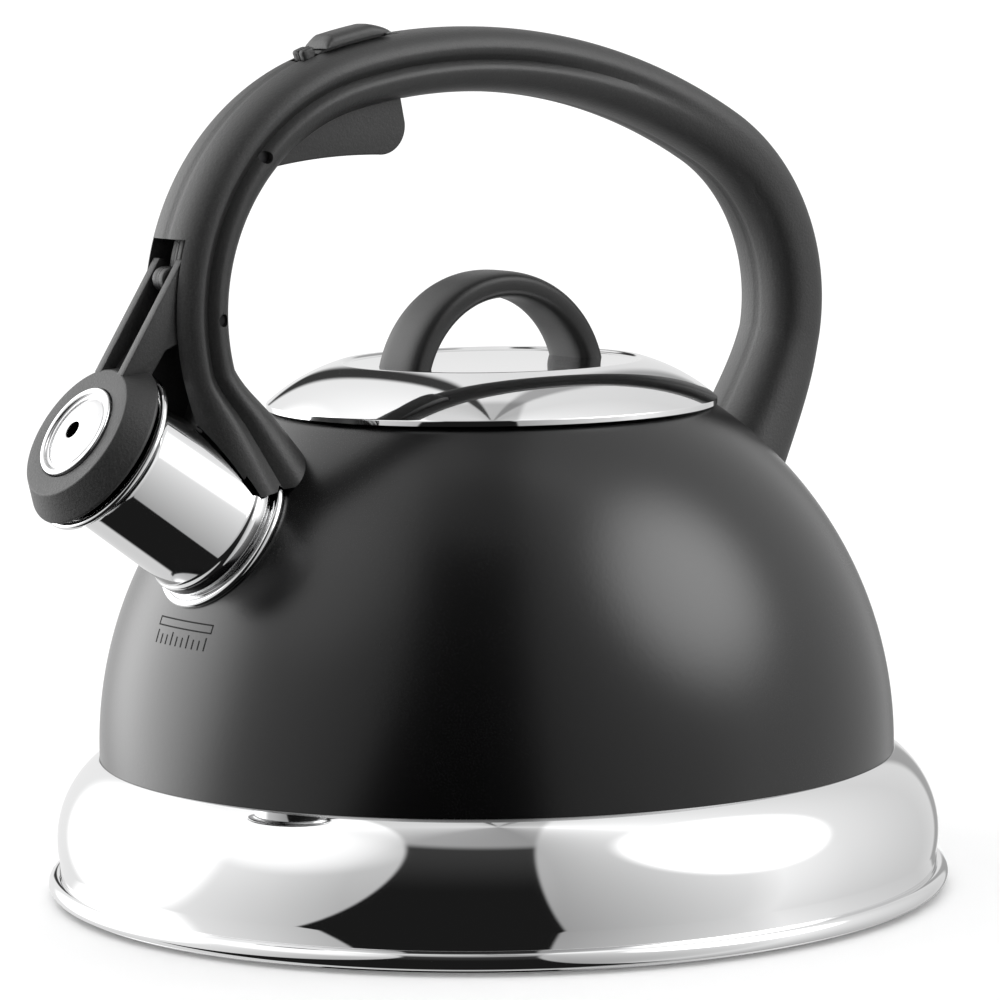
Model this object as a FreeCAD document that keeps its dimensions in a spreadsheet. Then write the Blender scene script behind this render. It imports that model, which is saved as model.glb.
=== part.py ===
"""Stovetop whistling kettle: a painted dome on a flared chrome base, a loop handle, and a whistle cap
that a finger trigger or a thumb slide lifts off the spout.

Frame: millimetres, +Z up, origin on the vertical axis at the face that stands on the hob.  The spout
points to -X, and the handle, the spout and the lid knob all lie in the plane Y = 0.
"""
import FreeCAD, Part
import math
import os

import Sketcher
from FreeCAD import Placement, Rotation, Vector

# A size given as text is a formula that ties it to a size above it.
SIZES = {
    # base
    "dome_radius": 97.0, "bead_outer_radius": "=dome_radius + 13", "bead_tube_radius": 2.2,
    "bead_centre_height": 3.15,
    "lip_step": 2.7, "lip_gap": 0.3, "band_wall": 1.2, "crease_height": 33.4, "flare_foot_height": 9.0,
    "flare_bulge_out": 0.61, "flare_bulge_down": 0.25,
    "pan_thickness": 1.0, "spreader_thickness": 3.4, "cover_wall": 0.6, "cover_radius": "=dome_radius + 2.6",
    # dome and mouth
    "dome_rise": 98.3, "dome_centre_height": 35.5, "shell_wall": 1.0,
    "mouth_radius": 46.0, "collar_wall": 1.0, "collar_depth": 9.0, "collar_proud": 0.8,
    "collar_bead_radius": 0.7,
    # lid
    "lid_radius": 54.8, "lid_gap": 0.4, "lid_lip_height": 1.2, "lid_wall": 1.0, "lid_rise": 9.8,
    "plateau_radius": 37.1, "plateau_recess": 0.7, "locating_ring_depth": 9.0,
    "locating_ring_clearance": 0.6, "locating_ring_wall": 1.0,
    # knob
    "knob_radius": 29.5, "knob_thickness": 6.6, "knob_width": 17.0, "knob_corner": 3.0,
    "knob_centre_drop": 7.2, "knob_screw_radius": 1.45, "knob_screw_depth": 4.0,
    "knob_screw_spacing": 49.6, "screw_head_radius": 3.0, "screw_head_height": 1.8,
    # spout
    "spout_angle": 34.5, "spout_radius": 17.4, "spout_end_radius": "=spout_radius - 0.8", "spout_wall": 1.0,
    "spout_inner_end": -13.0, "spout_lip_radius": "=spout_radius + 3.3", "spout_lip_place": 28.9,
    "lip_tube_radius": 0.9,
    "spout_step_height": 0.8, "flange_radius": "=spout_radius + 1.6", "flange_tube_radius": 1.1,
    "flange_place": -9.0,
    # whistle cap
    "cap_front_radius": "=spout_radius - 0.7", "cap_rear_radius": "=spout_radius + 3.4",
    "cap_front_place": 37.6, "cap_rear_place": 31.5,
    "cap_bore_radius": "=spout_radius - 4.8",
    "cap_ledge_radius": "=spout_radius - 7.9", "disc_radius": "=cap_bore_radius - 1.05", "disc_seat_place": 35.0,
    "whistle_hole_radius": 2.2, "seal_outer_radius": "=spout_radius + 0.6", "seal_thickness": 1.3,
    # handle
    "handle_thickness": 15.6, "handle_width": 23.0, "handle_corner": 6.0, "handle_wall": 2.2,
    "cavity_width": 14.2, "front_leg_inset": 11.0, "rear_leg_inset": 7.1,
    "front_bend_rise": 21.4, "front_bend_radius": 55.5, "rear_bend_rise": 17.7, "rear_bend_radius": 47.5,
    "handle_top_rise": 79.4, "slot_top_rise": 40.0,
    "pin_radius": 1.45, "pin_length": 19.0, "pin_hole_radius": 1.5, "hub_radius": 3.1,
    "tab_thickness": 3.0, "tab_length": 7.0, "tab_height": 16.0, "tab_hole_height": 12.0,
    "foot_screw_radius": 1.45, "foot_screw_length": 15.0,
    # cap lever, pull link, trigger and thumb slide
    "lever_width": 12.9, "cheek_thickness": 2.8, "link_width": 5.0, "link_thickness": 2.2,
    "link_radius": 58.7, "cross_pin_radius": 1.25, "trigger_width": 10.0, "trigger_wall": 1.6,
    "trigger_slot_width": 11.2, "thumb_width": 10.0, "thumb_slot_width": 6.6, "nose_radius": 1.6,
    "spring_wire_radius": 0.4, "spring_coil_radius": 2.45,
}

doc = FreeCAD.newDocument("WhistlingKettle")
sheet = doc.addObject("Spreadsheet::Sheet", "Sizes")
for row, (alias, number) in enumerate(SIZES.items(), start=1):
    sheet.set(f"A{row}", alias)
    sheet.set(f"B{row}", str(number))
    sheet.setAlias(f"B{row}", alias)
doc.recompute()

NODES = {}


def size(alias):
    """The sheet's value of one driving dimension, as a plain number."""
    return float(sheet.get(alias))


# ---------------------------------------------------------------- drawing helpers

def point(x, z, y=0.0):
    return Vector(x, y, z)


def outline(start, *steps):
    """A closed face in the plane Y = 0.  A step is a point (x, z), which a line runs to, or a pair of
    points (middle, end), which an arc runs through."""
    edges, here = [], start
    for step in steps + (start,):
        if isinstance(step[0], tuple):
            middle, end = step
            edges.append(Part.Arc(point(*here), point(*middle), point(*end)).toShape())
        else:
            end = step
            if math.dist(here, end) > 1e-6:
                edges.append(Part.LineSegment(point(*here), point(*end)).toShape())
        here = end
    return Part.Face(Part.Wire(edges))


def turned(face):
    """The solid that a face makes when it turns once about the vertical axis."""
    return face.revolve(Vector(0, 0, 0), Vector(0, 0, 1), 360)


def prism(face, half_width):
    """A face of the plane Y = 0 made as thick as twice half_width, centred on that plane."""
    solid = face.extrude(Vector(0, 2 * half_width, 0))
    solid.translate(Vector(0, -half_width, 0))
    return solid


def cross_bar(x, z, radius, half_width):
    """A round bar along Y."""
    return Part.makeCylinder(radius, 2 * half_width, Vector(x, -half_width, z), Vector(0, 1, 0))


def pipe(outer, inner, low, high):
    return Part.makeCylinder(outer, high - low, point(0, low)).cut(
        Part.makeCylinder(inner, high - low, point(0, low)))


def circle_through(a, b, c):
    """Centre and radius of the circle through three points (x, z)."""
    circle = Part.Arc(point(*a), point(*b), point(*c)).toShape().Curve
    return (circle.Center.x, circle.Center.z), circle.Radius


def on_circle(centre, radius, degrees):
    turn = math.radians(degrees)
    return centre[0] + radius * math.cos(turn), centre[1] + radius * math.sin(turn)


def bearing(origin, target):
    """Direction from one point to another in the plane Y = 0, in degrees from +X towards +Z."""
    return math.degrees(math.atan2(target[1] - origin[1], target[0] - origin[0]))


# ---------------------------------------------------------------- document helpers

def keep(label, feature):
    """Register a sub-part under the name of its file."""
    feature.Label = label
    NODES[label] = feature
    return feature


def shaped(label, shape, placement=Placement()):
    """A sub-part whose shape is worked out here from the sheet."""
    feature = doc.addObject("Part::Feature", label)
    feature.Shape = shape.removeSplitter()
    feature.Placement = placement
    return keep(label, feature)


def bind(feature, **expressions):
    """Tie properties of a feature to the sheet; an underscore in a name stands for a dot."""
    for name, expression in expressions.items():
        feature.setExpression(name.replace("_", "."), expression)
    return feature


def cylinder(name, radius, height, low="0 mm"):
    """A bound upright cylinder: each size is an expression on the sheet."""
    feature = doc.addObject("Part::Cylinder", name)
    return bind(feature, Radius=radius, Height=height, Placement_Base_z=low)


def origin_plane(body, role):
    return next(plane for plane in body.Origin.OriginFeatures if plane.Role == role)


def sketch_in(body, name, role):
    sketch = body.newObject("Sketcher::SketchObject", name)
    sketch.AttachmentSupport = [(origin_plane(body, role), "")]
    sketch.MapMode = "FlatFace"
    return sketch


def ring_body(label, outer, inner, thickness, placement):
    """A flat ring: a PartDesign pad of two bound circles."""
    body = doc.addObject("PartDesign::Body", label)
    sketch = sketch_in(body, label + "_sketch", "XY_Plane")
    for index, (name, expression) in enumerate((("outer", outer), ("inner", inner))):
        sketch.addGeometry(Part.Circle(Vector(0, 0, 0), Vector(0, 0, 1), 10.0 - index), False)
        sketch.addConstraint(Sketcher.Constraint("Coincident", index, 3, -1, 1))
        number = sketch.addConstraint(Sketcher.Constraint("Radius", index, 10.0 - index))
        sketch.renameConstraint(number, name)
        sketch.setExpression("Constraints." + name, expression)
    pad = body.newObject("PartDesign::Pad", label + "_pad")
    pad.Profile = sketch
    pad.setExpression("Length", thickness)
    body.Placement = placement
    return keep(label, body)


def tab_body(label, length, height, thickness, hole_radius, hole_height, placement):
    """A flat tab with one cross hole: a PartDesign pad, symmetric about the plane Y = 0."""
    body = doc.addObject("PartDesign::Body", label)
    sketch = sketch_in(body, label + "_sketch", "XZ_Plane")
    half, top = 3.0, 10.0
    corners = [Vector(-half, 0, 0), Vector(half, 0, 0), Vector(half, top, 0), Vector(-half, top, 0)]
    for index, corner in enumerate(corners):
        sketch.addGeometry(Part.LineSegment(corner, corners[(index + 1) % 4]), False)
        sketch.addConstraint(Sketcher.Constraint("Vertical" if index % 2 else "Horizontal", index))
    for index in range(4):
        sketch.addConstraint(Sketcher.Constraint("Coincident", index, 2, (index + 1) % 4, 1))
    sketch.addConstraint(Sketcher.Constraint("Symmetric", 0, 1, 0, 2, -1, 1))
    sketch.addGeometry(Part.Circle(Vector(0, 5, 0), Vector(0, 0, 1), 1.0), False)
    sketch.addConstraint(Sketcher.Constraint("PointOnObject", 4, 3, -2))
    sizes = (("DistanceX", (0, 1, 0, 2), 2 * half, "length", length),
             ("DistanceY", (1, 1, 1, 2), top, "height", height),
             ("Radius", (4,), 1.0, "hole", hole_radius),
             ("DistanceY", (-1, 1, 4, 3), 5.0, "rise", hole_height))
    for kind, where, start, name, expression in sizes:
        number = sketch.addConstraint(Sketcher.Constraint(kind, *where, start))
        sketch.renameConstraint(number, name)
        sketch.setExpression("Constraints." + name, expression)
    pad = body.newObject("PartDesign::Pad", label + "_pad")
    pad.Profile = sketch
    pad.Midplane = True
    pad.setExpression("Length", thickness)
    body.Placement = placement
    return body


# ---------------------------------------------------------------- the dome's ellipse

DOME_CENTRE = size("dome_centre_height")


def dome_height(radius, inset=0.0):
    """Height of the dome's surface at a distance from the axis; inset goes inwards from the outside."""
    share = radius / (size("dome_radius") - inset)
    return DOME_CENTRE + (size("dome_rise") - inset) * math.sqrt(1 - share * share)


def dome_arc(inset, low, high):
    """The dome's quarter ellipse between a low and a high point (x, z) on it."""
    side = point(size("dome_radius") - inset, DOME_CENTRE)
    top = point(0, DOME_CENTRE + size("dome_rise") - inset)
    centre = point(0, DOME_CENTRE)
    ends = (top, side) if top.z - DOME_CENTRE > side.x else (side, top)
    ellipse = Part.Ellipse(ends[0], ends[1], centre)
    turns = sorted(math.remainder(ellipse.parameter(point(*end)), 2 * math.pi) for end in (low, high))
    return Part.ArcOfEllipse(ellipse, turns[0], turns[1]).toShape()


def dome_side(height, inset=0.0):
    """Distance from the axis of the dome's surface just above the crease, where it is nearly upright."""
    share = (height - DOME_CENTRE) / (size("dome_rise") - inset)
    return (size("dome_radius") - inset) * math.sqrt(1 - share * share)


def dome_solid(inset=0.0):
    """The full dome down to its widest place, used to cut what stands on the shell."""
    side = (size("dome_radius") - inset, DOME_CENTRE)
    apex = (0.0, DOME_CENTRE + size("dome_rise") - inset)
    edges = [dome_arc(inset, side, apex),
             Part.LineSegment(point(*apex), point(0, DOME_CENTRE)).toShape(),
             Part.LineSegment(point(0, DOME_CENTRE), point(*side)).toShape()]
    return turned(Part.Face(Part.Wire(Part.__sortEdges__(edges))))


# ---------------------------------------------------------------- shared places

MOUTH_Z = dome_height(size("mouth_radius"))
LIP_RADIUS = size("bead_outer_radius") - size("lip_step")
PAN_LOW = size("cover_wall") + size("spreader_thickness")


def front(across, up):
    """A place on the spout side: across is from the dome's widest radius, up is from the mouth."""
    return across - size("dome_radius"), MOUTH_Z + up


def rear(across, up):
    return size("dome_radius") + across, MOUTH_Z + up


LEVER_PIVOT = front(14.5, 21.2)
TRIGGER_PIVOT = front(27.0, 58.3)
CROSS_PIN = front(6.7, 30.6)
NOSE = front(57.0, 72.5)
SPOUT_PLACEMENT = Placement(point(*front(12.0, -24.4)),
                            Rotation(Vector(0, 1, 0), size("spout_angle") - 90.0))


def along_spout(radius, place):
    """Row place of a point in the plane Y = 0, from its distance above the spout's axis and along it."""
    spot = SPOUT_PLACEMENT.multVec(Vector(radius, 0, place))
    return spot.x, spot.z


# ---------------------------------------------------------------- handle centre line

HALF_THICK = size("handle_thickness") / 2
FRONT_BEND = (size("front_leg_inset") - size("dome_radius") + size("front_bend_radius"),
              MOUTH_Z + size("front_bend_rise"))
REAR_BEND = (size("dome_radius") - size("rear_leg_inset") - size("rear_bend_radius"),
             MOUTH_Z + size("rear_bend_rise"))


def top_bend():
    """Centre and radius of the arc that touches both bends from outside and crests at the handle's top."""
    crest = MOUTH_Z + size("handle_top_rise")
    rise_f, rise_r = crest - FRONT_BEND[1], crest - REAR_BEND[1]
    bend_f, bend_r = size("front_bend_radius"), size("rear_bend_radius")

    def reach(radius, rise, bend):
        return math.sqrt(max(2 * radius * (rise - bend) + bend ** 2 - rise ** 2, 0.0))

    low, high = max(rise_f, rise_r), 4000.0
    for _ in range(80):
        radius = (low + high) / 2
        span = reach(radius, rise_f, bend_f) + reach(radius, rise_r, bend_r)
        low, high = (radius, high) if span < REAR_BEND[0] - FRONT_BEND[0] else (low, radius)
    return (FRONT_BEND[0] + reach(radius, rise_f, bend_f), crest - radius), radius


TOP_BEND, TOP_RADIUS = top_bend()
FRONT_JOIN = bearing(TOP_BEND, FRONT_BEND)
REAR_JOIN = bearing(TOP_BEND, REAR_BEND)
FRONT_FOOT_TURN = 194.0
REAR_FOOT_TURN = -12.0


def rounded_section(inner, outer, width, corner):
    """A rounded rectangle that spans from an inner to an outer point (x, z) and is centred on Y = 0."""
    depth = math.dist(inner, outer)
    half = width / 2
    square = Part.makePolygon([Vector(0, -half, 0), Vector(depth, -half, 0), Vector(depth, half, 0),
                               Vector(0, half, 0), Vector(0, -half, 0)])
    bend = 1 - math.sqrt(0.5)
    corners = [(Vector(0, -half, 0), 1, 1), (Vector(depth, -half, 0), -1, 1),
               (Vector(depth, half, 0), -1, -1), (Vector(0, half, 0), 1, -1)]
    edges = []
    stops = []
    for spot, step_x, step_y in corners:
        before = spot + Vector(0, step_y * corner, 0)
        after = spot + Vector(step_x * corner, 0, 0)
        middle = spot + Vector(step_x * corner * bend, step_y * corner * bend, 0)
        stops.append((before, middle, after) if step_x * step_y > 0 else (after, middle, before))
    for index, (before, middle, after) in enumerate(stops):
        edges.append(Part.Arc(before, middle, after).toShape())
        following = stops[(index + 1) % 4][0]
        edges.append(Part.LineSegment(after, following).toShape())
    wire = Part.Wire(edges)
    tilt = -bearing(inner, outer)
    wire.Placement = Placement(point(*inner), Rotation(Vector(0, 1, 0), tilt))
    return wire


def loop_sweep(thickness, width, corner, first, last):
    """The section carried round the three bends, from the rear bearing to the front one, in degrees."""
    bends = ((REAR_BEND, size("rear_bend_radius"), first, REAR_JOIN),
             (TOP_BEND, TOP_RADIUS, REAR_JOIN, FRONT_JOIN),
             (FRONT_BEND, size("front_bend_radius"), FRONT_JOIN, last))
    pieces = []
    for centre, radius, start, end in bends:
        inner = on_circle(centre, radius - thickness / 2, start)
        outer = on_circle(centre, radius + thickness / 2, start)
        face = Part.Face(rounded_section(inner, outer, width, corner))
        pieces.append(face.revolve(point(*centre), Vector(0, -1, 0), end - start))
    return pieces[0].fuse(pieces[1:])


def foot(centre, radius, turn, sections):
    """A foot lofted from the loop's end section through (inner, outer, width, corner) sections."""
    inner = on_circle(centre, radius - HALF_THICK, turn)
    outer = on_circle(centre, radius + HALF_THICK, turn)
    wires = [rounded_section(inner, outer, size("handle_width"), size("handle_corner"))]
    wires += [rounded_section(*section) for section in sections]
    return Part.makeLoft(wires, True, False)


def handle_blank():
    width, corner = size("handle_width"), size("handle_corner")
    loop = loop_sweep(size("handle_thickness"), width, corner, REAR_FOOT_TURN, FRONT_FOOT_TURN)
    front_foot = foot(FRONT_BEND, size("front_bend_radius"), FRONT_FOOT_TURN,
                      [(front(31.2, -3.0), front(8.2, -4.5), width + 4, corner),
                       (front(41.5, -16.0), front(12.5, -21.0), width + 12, corner + 2)])
    rear_foot = foot(REAR_BEND, size("rear_bend_radius"), REAR_FOOT_TURN,
                     [(rear(-23.6, -6.0), rear(-5.1, -8.5), width + 2, corner),
                      (rear(-35.0, -22.0), rear(-19.0, -38.0), width + 7, corner)])
    return loop.fuse([front_foot, rear_foot])


# ---------------------------------------------------------------- base

def make_base():
    cylinder("cover_outer", "Sizes.cover_radius", "Sizes.cover_wall + Sizes.spreader_thickness")
    cylinder("cover_inner", "Sizes.cover_radius - Sizes.cover_wall", "Sizes.spreader_thickness",
             "Sizes.cover_wall")
    cover = doc.addObject("Part::Cut", "base_cover")
    cover.Base, cover.Tool = doc.cover_outer, doc.cover_inner
    keep("base_cover", cover)
    keep("heat_spreader", cylinder("heat_spreader", "Sizes.cover_radius - Sizes.cover_wall",
                                   "Sizes.spreader_thickness", "Sizes.cover_wall"))
    keep("base_pan", cylinder("base_pan", "Sizes.bead_outer_radius - Sizes.lip_step - Sizes.band_wall",
                              "Sizes.pan_thickness", "Sizes.cover_wall + Sizes.spreader_thickness"))


def make_skirt():
    """The flared band: an arc from the crease to the foot, a rolled bead and a short lip under it."""
    wall, crease, foot_z = size("band_wall"), size("crease_height"), size("flare_foot_height")
    bead_z, low = size("bead_centre_height"), size("lip_gap")
    crease_radius = dome_side(crease)
    step = LIP_RADIUS - crease_radius
    middle = (crease_radius + step * size("flare_bulge_out"),
              crease - (crease - foot_z) * size("flare_bulge_down"))
    centre, radius = circle_through((crease_radius, crease), middle, (LIP_RADIUS, foot_z))
    inner_turn = math.degrees(math.asin((crease - centre[1]) / (radius - wall)))
    inner_foot = (LIP_RADIUS - wall, foot_z)
    inner_bend = on_circle(centre, radius - wall, inner_turn * 0.5)
    band = turned(outline((LIP_RADIUS, low), (LIP_RADIUS, foot_z),
                          (middle, (crease_radius, crease)),
                          on_circle(centre, radius - wall, inner_turn),
                          (inner_bend, inner_foot), (LIP_RADIUS - wall, low)))
    bead = Part.makeTorus(size("bead_outer_radius") - size("bead_tube_radius"), size("bead_tube_radius"),
                          point(0, bead_z))
    inside = Part.makeCylinder(LIP_RADIUS - wall, crease)
    shaped("skirt_band", band.fuse(bead.cut(inside)))


# ---------------------------------------------------------------- dome, mouth and spout

def spout_bore_cutter():
    cutter = Part.makeCylinder(size("spout_radius"), 30, point(0, size("spout_inner_end") - 6))
    cutter.Placement = SPOUT_PLACEMENT
    return cutter


def make_dome():
    wall, crease, mouth = size("shell_wall"), size("crease_height"), size("mouth_radius")
    outer_low, outer_high = (dome_side(crease), crease), (mouth, dome_height(mouth))
    inner_low, inner_high = (dome_side(crease, wall), crease), (mouth, dome_height(mouth, wall))
    edges = [dome_arc(0.0, outer_low, outer_high),
             Part.LineSegment(point(*outer_high), point(*inner_high)).toShape(),
             dome_arc(wall, inner_low, inner_high),
             Part.LineSegment(point(*inner_low), point(*outer_low)).toShape()]
    shell = turned(Part.Face(Part.Wire(Part.__sortEdges__(edges))))
    shaped("dome_shell", shell.cut(spout_bore_cutter()))

    mouth_wall = size("collar_wall")
    top = MOUTH_Z + size("collar_proud")
    sleeve = pipe(mouth, mouth - mouth_wall, MOUTH_Z - size("collar_depth"), top)
    bead_radius = size("collar_bead_radius")
    bead = Part.makeTorus(mouth - mouth_wall + bead_radius, bead_radius, point(0, top))
    shaped("mouth_collar", sleeve.fuse(bead))


def make_spout():
    """The tube tapers from the dome, flares to a rolled lip, and has a small step above its flange."""
    base, end, wall = size("spout_radius"), size("spout_end_radius"), size("spout_wall")
    low, lip_r, lip_s = size("spout_inner_end"), size("spout_lip_radius"), size("spout_lip_place")
    tube = size("lip_tube_radius")
    step = size("spout_step_height")
    flange_s = size("flange_place")
    step_low, step_high = flange_s + 1.6, flange_s + 5.2
    flare_low = lip_s - 4.6
    body = turned(outline((base, low), (base, step_low), (base + step, step_low + step),
                          (base + step, step_high), (base, step_high + step), (end, flare_low),
                          ((end + 1.1, lip_s - 1.6), (lip_r - tube, lip_s - tube)),
                          (lip_r - tube, lip_s + tube * 0.4),
                          ((end + 0.3, lip_s - 1.1), (end - wall, flare_low)), (base - wall, low)))
    lip = Part.makeTorus(lip_r - tube, tube, point(0, lip_s))
    shaped("spout_tube", body.fuse(lip), SPOUT_PLACEMENT)

    ring_r, ring_t = size("flange_radius"), size("flange_tube_radius")
    ring = Part.makeTorus(ring_r, ring_t, point(0, flange_s))
    web = pipe(ring_r, base, flange_s - ring_t, flange_s + ring_t * 0.6)
    ring = ring.cut(Part.makeCylinder(base, 4 * ring_t, point(0, flange_s - 2 * ring_t)))
    flange = ring.fuse(web)
    flange.Placement = SPOUT_PLACEMENT
    shaped("spout_flange", flange.cut(dome_solid()))


# ---------------------------------------------------------------- lid

def make_lid():
    """The lid: a convex shell with an upright rim and a shallow recessed plateau for the knob."""
    rim, wall = size("lid_radius"), size("lid_wall")
    low = dome_height(rim - wall) + size("lid_gap")
    high = low + size("lid_lip_height")
    top = high + size("lid_rise")
    edge = size("plateau_radius")
    floor = top - size("plateau_recess")
    middle = ((rim + edge) / 2 + 0.25, (high + top) / 2 + 1.15)
    centre, radius = circle_through((rim, high), middle, (edge, top))
    rim_turn = math.degrees(math.acos((rim - wall - centre[0]) / (radius - wall)))
    edge_turn = bearing(centre, (edge, top))
    inner_rim = on_circle(centre, radius - wall, rim_turn)
    inner_edge = on_circle(centre, radius - wall, edge_turn)
    bend = on_circle(centre, radius - wall, (rim_turn + edge_turn) / 2)
    slope = 1.2
    shell = turned(outline((rim, low), (rim, high), (middle, (edge, top)), (edge - 0.8, top),
                           (edge - 0.8 - slope, floor), (0.0, floor), (0.0, floor - wall),
                           (inner_edge[0] - 0.8 - slope, floor - wall), (inner_edge[0] - 0.4, inner_edge[1]),
                           inner_edge, (bend, inner_rim), (rim - wall, low)))
    half_spacing = size("knob_screw_spacing") / 2
    holes = [Part.makeCylinder(size("knob_screw_radius") + 0.05, 3 * wall,
                               Vector(side * half_spacing, 0, floor - 2 * wall)) for side in (-1, 1)]
    shaped("lid_shell", shell.cut(holes))

    ring_outer = size("mouth_radius") - size("collar_wall") - size("locating_ring_clearance")
    ring_inner = ring_outer - size("locating_ring_wall")

    def under_lid(x):
        return centre[1] + math.sqrt((radius - wall) ** 2 - (x - centre[0]) ** 2)

    ring_low = MOUTH_Z - size("locating_ring_depth")
    shaped("lid_locating_ring", turned(outline((ring_outer, ring_low), (ring_outer, under_lid(ring_outer)),
                                               (ring_inner, under_lid(ring_inner)),
                                               (ring_inner, ring_low))))
    make_knob(floor, half_spacing)


def make_knob(floor, half_spacing):
    """An arch that stands on the plateau on two feet, each held by a screw from under the lid."""
    centre = (0.0, floor - size("knob_centre_drop"))
    outer = size("knob_radius")
    inner = outer - size("knob_thickness")
    section = Part.Face(rounded_section(on_circle(centre, inner, 0.0), on_circle(centre, outer, 0.0),
                                        size("knob_width"), size("knob_corner")))
    arch = section.revolve(point(*centre), Vector(0, -1, 0), 180)
    below = Part.makeBox(4 * outer, 4 * outer, outer, Vector(-2 * outer, -2 * outer, floor - outer))
    wall, shank, depth = size("lid_wall"), size("knob_screw_radius"), size("knob_screw_depth")
    screws, pilots = [], []
    for side in (-1, 1):
        spot = side * half_spacing
        under = floor - wall
        head = Part.makeCylinder(size("screw_head_radius"), size("screw_head_height"),
                                 Vector(spot, 0, under - size("screw_head_height")))
        stem = Part.makeCylinder(shank, wall + depth, Vector(spot, 0, under))
        drive = Part.makeBox(0.8, 4.0, 0.8, Vector(spot - 0.4, -2.0, under - size("screw_head_height")))
        screws.append(head.fuse(stem).cut(drive))
        pilots.append(Part.makeCylinder(shank + 0.05, depth + 0.3, Vector(spot, 0, floor - 0.1)))
    shaped("lid_knob", arch.cut([below] + pilots))
    shaped("knob_screws", Part.makeCompound(screws))


# ---------------------------------------------------------------- handle

# the upright tab under the rear foot starts a little below the dome's surface
REAR_TAB_X = rear(-24.0, 0)[0]
REAR_TAB_LOW = dome_height(REAR_TAB_X + size("tab_length") / 2) - 3.0
FOOT_SCREWS = (front(28.1, -5.2), (REAR_TAB_X, REAR_TAB_LOW + size("tab_hole_height")))
TAB_CLEARANCE = 0.1


def front_tab(clearance=0.0):
    """The tab by the spout leans away from the flange and stands square on the dome."""
    face = outline(front(32.6, -15.5), front(36.6, -11.5), front(34.4, -8.8), front(27.5, -2.2),
                   front(23.5, -2.2), front(30.4, -11.8))
    return prism(face, size("tab_thickness") / 2 + clearance)


def rear_tab_room():
    length = size("tab_length") + 2 * TAB_CLEARANCE
    thick = size("tab_thickness") + 2 * TAB_CLEARANCE
    return Part.makeBox(length, thick, size("tab_height") + TAB_CLEARANCE,
                        Vector(REAR_TAB_X - length / 2, -thick / 2, REAR_TAB_LOW))


def make_handle():
    blank = handle_blank()
    cavity = loop_sweep(size("handle_thickness") - 2 * size("handle_wall"), size("cavity_width"),
                        1.5, REAR_FOOT_TURN + 6, FRONT_FOOT_TURN - 6)
    slot_half = size("cavity_width") / 2
    slot_top = size("slot_top_rise")
    lever_slot = prism(outline(front(-6, slot_top), front(9, slot_top), front(17, 26), front(17, 5),
                               front(13.5, -4), front(-6, -4)), slot_half)
    hub_room = cross_bar(*LEVER_PIVOT, size("hub_radius") + 0.4, slot_half)
    trigger_slot = prism(outline(front(29, 44), front(70.5, 64), front(70.5, 74), front(52, 72.5),
                                 front(29, 58.5)), size("trigger_slot_width") / 2)
    thumb_slot = prism(outline(front(42.6, 77), front(69.8, 80), front(69.8, 92), front(42.6, 92)),
                       size("thumb_slot_width") / 2)
    cuts = [dome_solid(), cavity, lever_slot, hub_room, trigger_slot, thumb_slot]
    spout_room = Part.makeCylinder(size("spout_radius") + 0.25, 60, point(0, size("spout_inner_end")))
    flange_reach = size("flange_radius") + size("flange_tube_radius") + 0.3
    flange_room = Part.makeCylinder(flange_reach, 12, point(0, size("spout_inner_end")))
    step_room = Part.makeCylinder(size("spout_radius") + size("spout_step_height") + 0.3, 14,
                                  point(0, size("spout_inner_end")))
    for room in (spout_room, flange_room.cut(Part.makeCylinder(flange_reach + 1, 9, point(0, -7.6))),
                 step_room):
        room.Placement = SPOUT_PLACEMENT
        cuts.append(room)
    for pivot in (LEVER_PIVOT, TRIGGER_PIVOT):
        cuts.append(cross_bar(*pivot, size("pin_hole_radius"), size("handle_width")))
    screw_r, screw_l, head_r = size("foot_screw_radius"), size("foot_screw_length"), size("screw_head_radius")
    seat = screw_l / 2
    screws = []
    cuts += [front_tab(TAB_CLEARANCE), rear_tab_room()]
    for spot, height in FOOT_SCREWS:
        cuts.append(cross_bar(spot, height, screw_r + 0.05, seat + 0.3))
        cuts.append(Part.makeCylinder(head_r + 0.2, 20, Vector(spot, seat, height), Vector(0, 1, 0)))
        shank = Part.makeCylinder(screw_r, screw_l, Vector(spot, -seat, height), Vector(0, 1, 0))
        head = Part.makeCylinder(head_r, size("screw_head_height"), Vector(spot, seat, height),
                                 Vector(0, 1, 0))
        screws.append(shank.fuse(head))
    handle = blank.cut(cuts)
    reach = 400.0
    for label, low in (("handle_left_half", -reach), ("handle_right_half", 0.0)):
        side = Part.makeBox(2 * reach, reach, 2 * reach, Vector(-reach, low, -reach))
        half = handle.common(side)
        shaped(label, max(half.Solids, key=lambda solid: solid.Volume))
    shaped("handle_screws", Part.makeCompound(screws))


def make_brackets():
    """Two steel tabs welded to the dome; the handle's halves close over them."""
    hole = cross_bar(*FOOT_SCREWS[0], size("foot_screw_radius") + TAB_CLEARANCE, size("tab_thickness"))
    shaped("front_bracket", front_tab().cut([dome_solid(), hole]))
    body = tab_body("rear_bracket_blank", "Sizes.tab_length", "Sizes.tab_height", "Sizes.tab_thickness",
                    "Sizes.foot_screw_radius + 0.1", "Sizes.tab_hole_height",
                    Placement(point(REAR_TAB_X, REAR_TAB_LOW), Rotation()))
    doc.recompute()
    shaped("rear_bracket", body.Shape.cut(dome_solid()))


def make_pins():
    for label, pivot in (("lever_pin", LEVER_PIVOT), ("trigger_pin", TRIGGER_PIVOT)):
        pin = doc.addObject("Part::Cylinder", label)
        bind(pin, Radius="Sizes.pin_radius", Height="Sizes.pin_length",
             Placement_Base_y="-Sizes.pin_length / 2")
        pin.Placement = Placement(Vector(pivot[0], -size("pin_length") / 2, pivot[1]),
                                  Rotation(Vector(1, 0, 0), -90))
        keep(label, pin)


# ---------------------------------------------------------------- whistle cap

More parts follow.
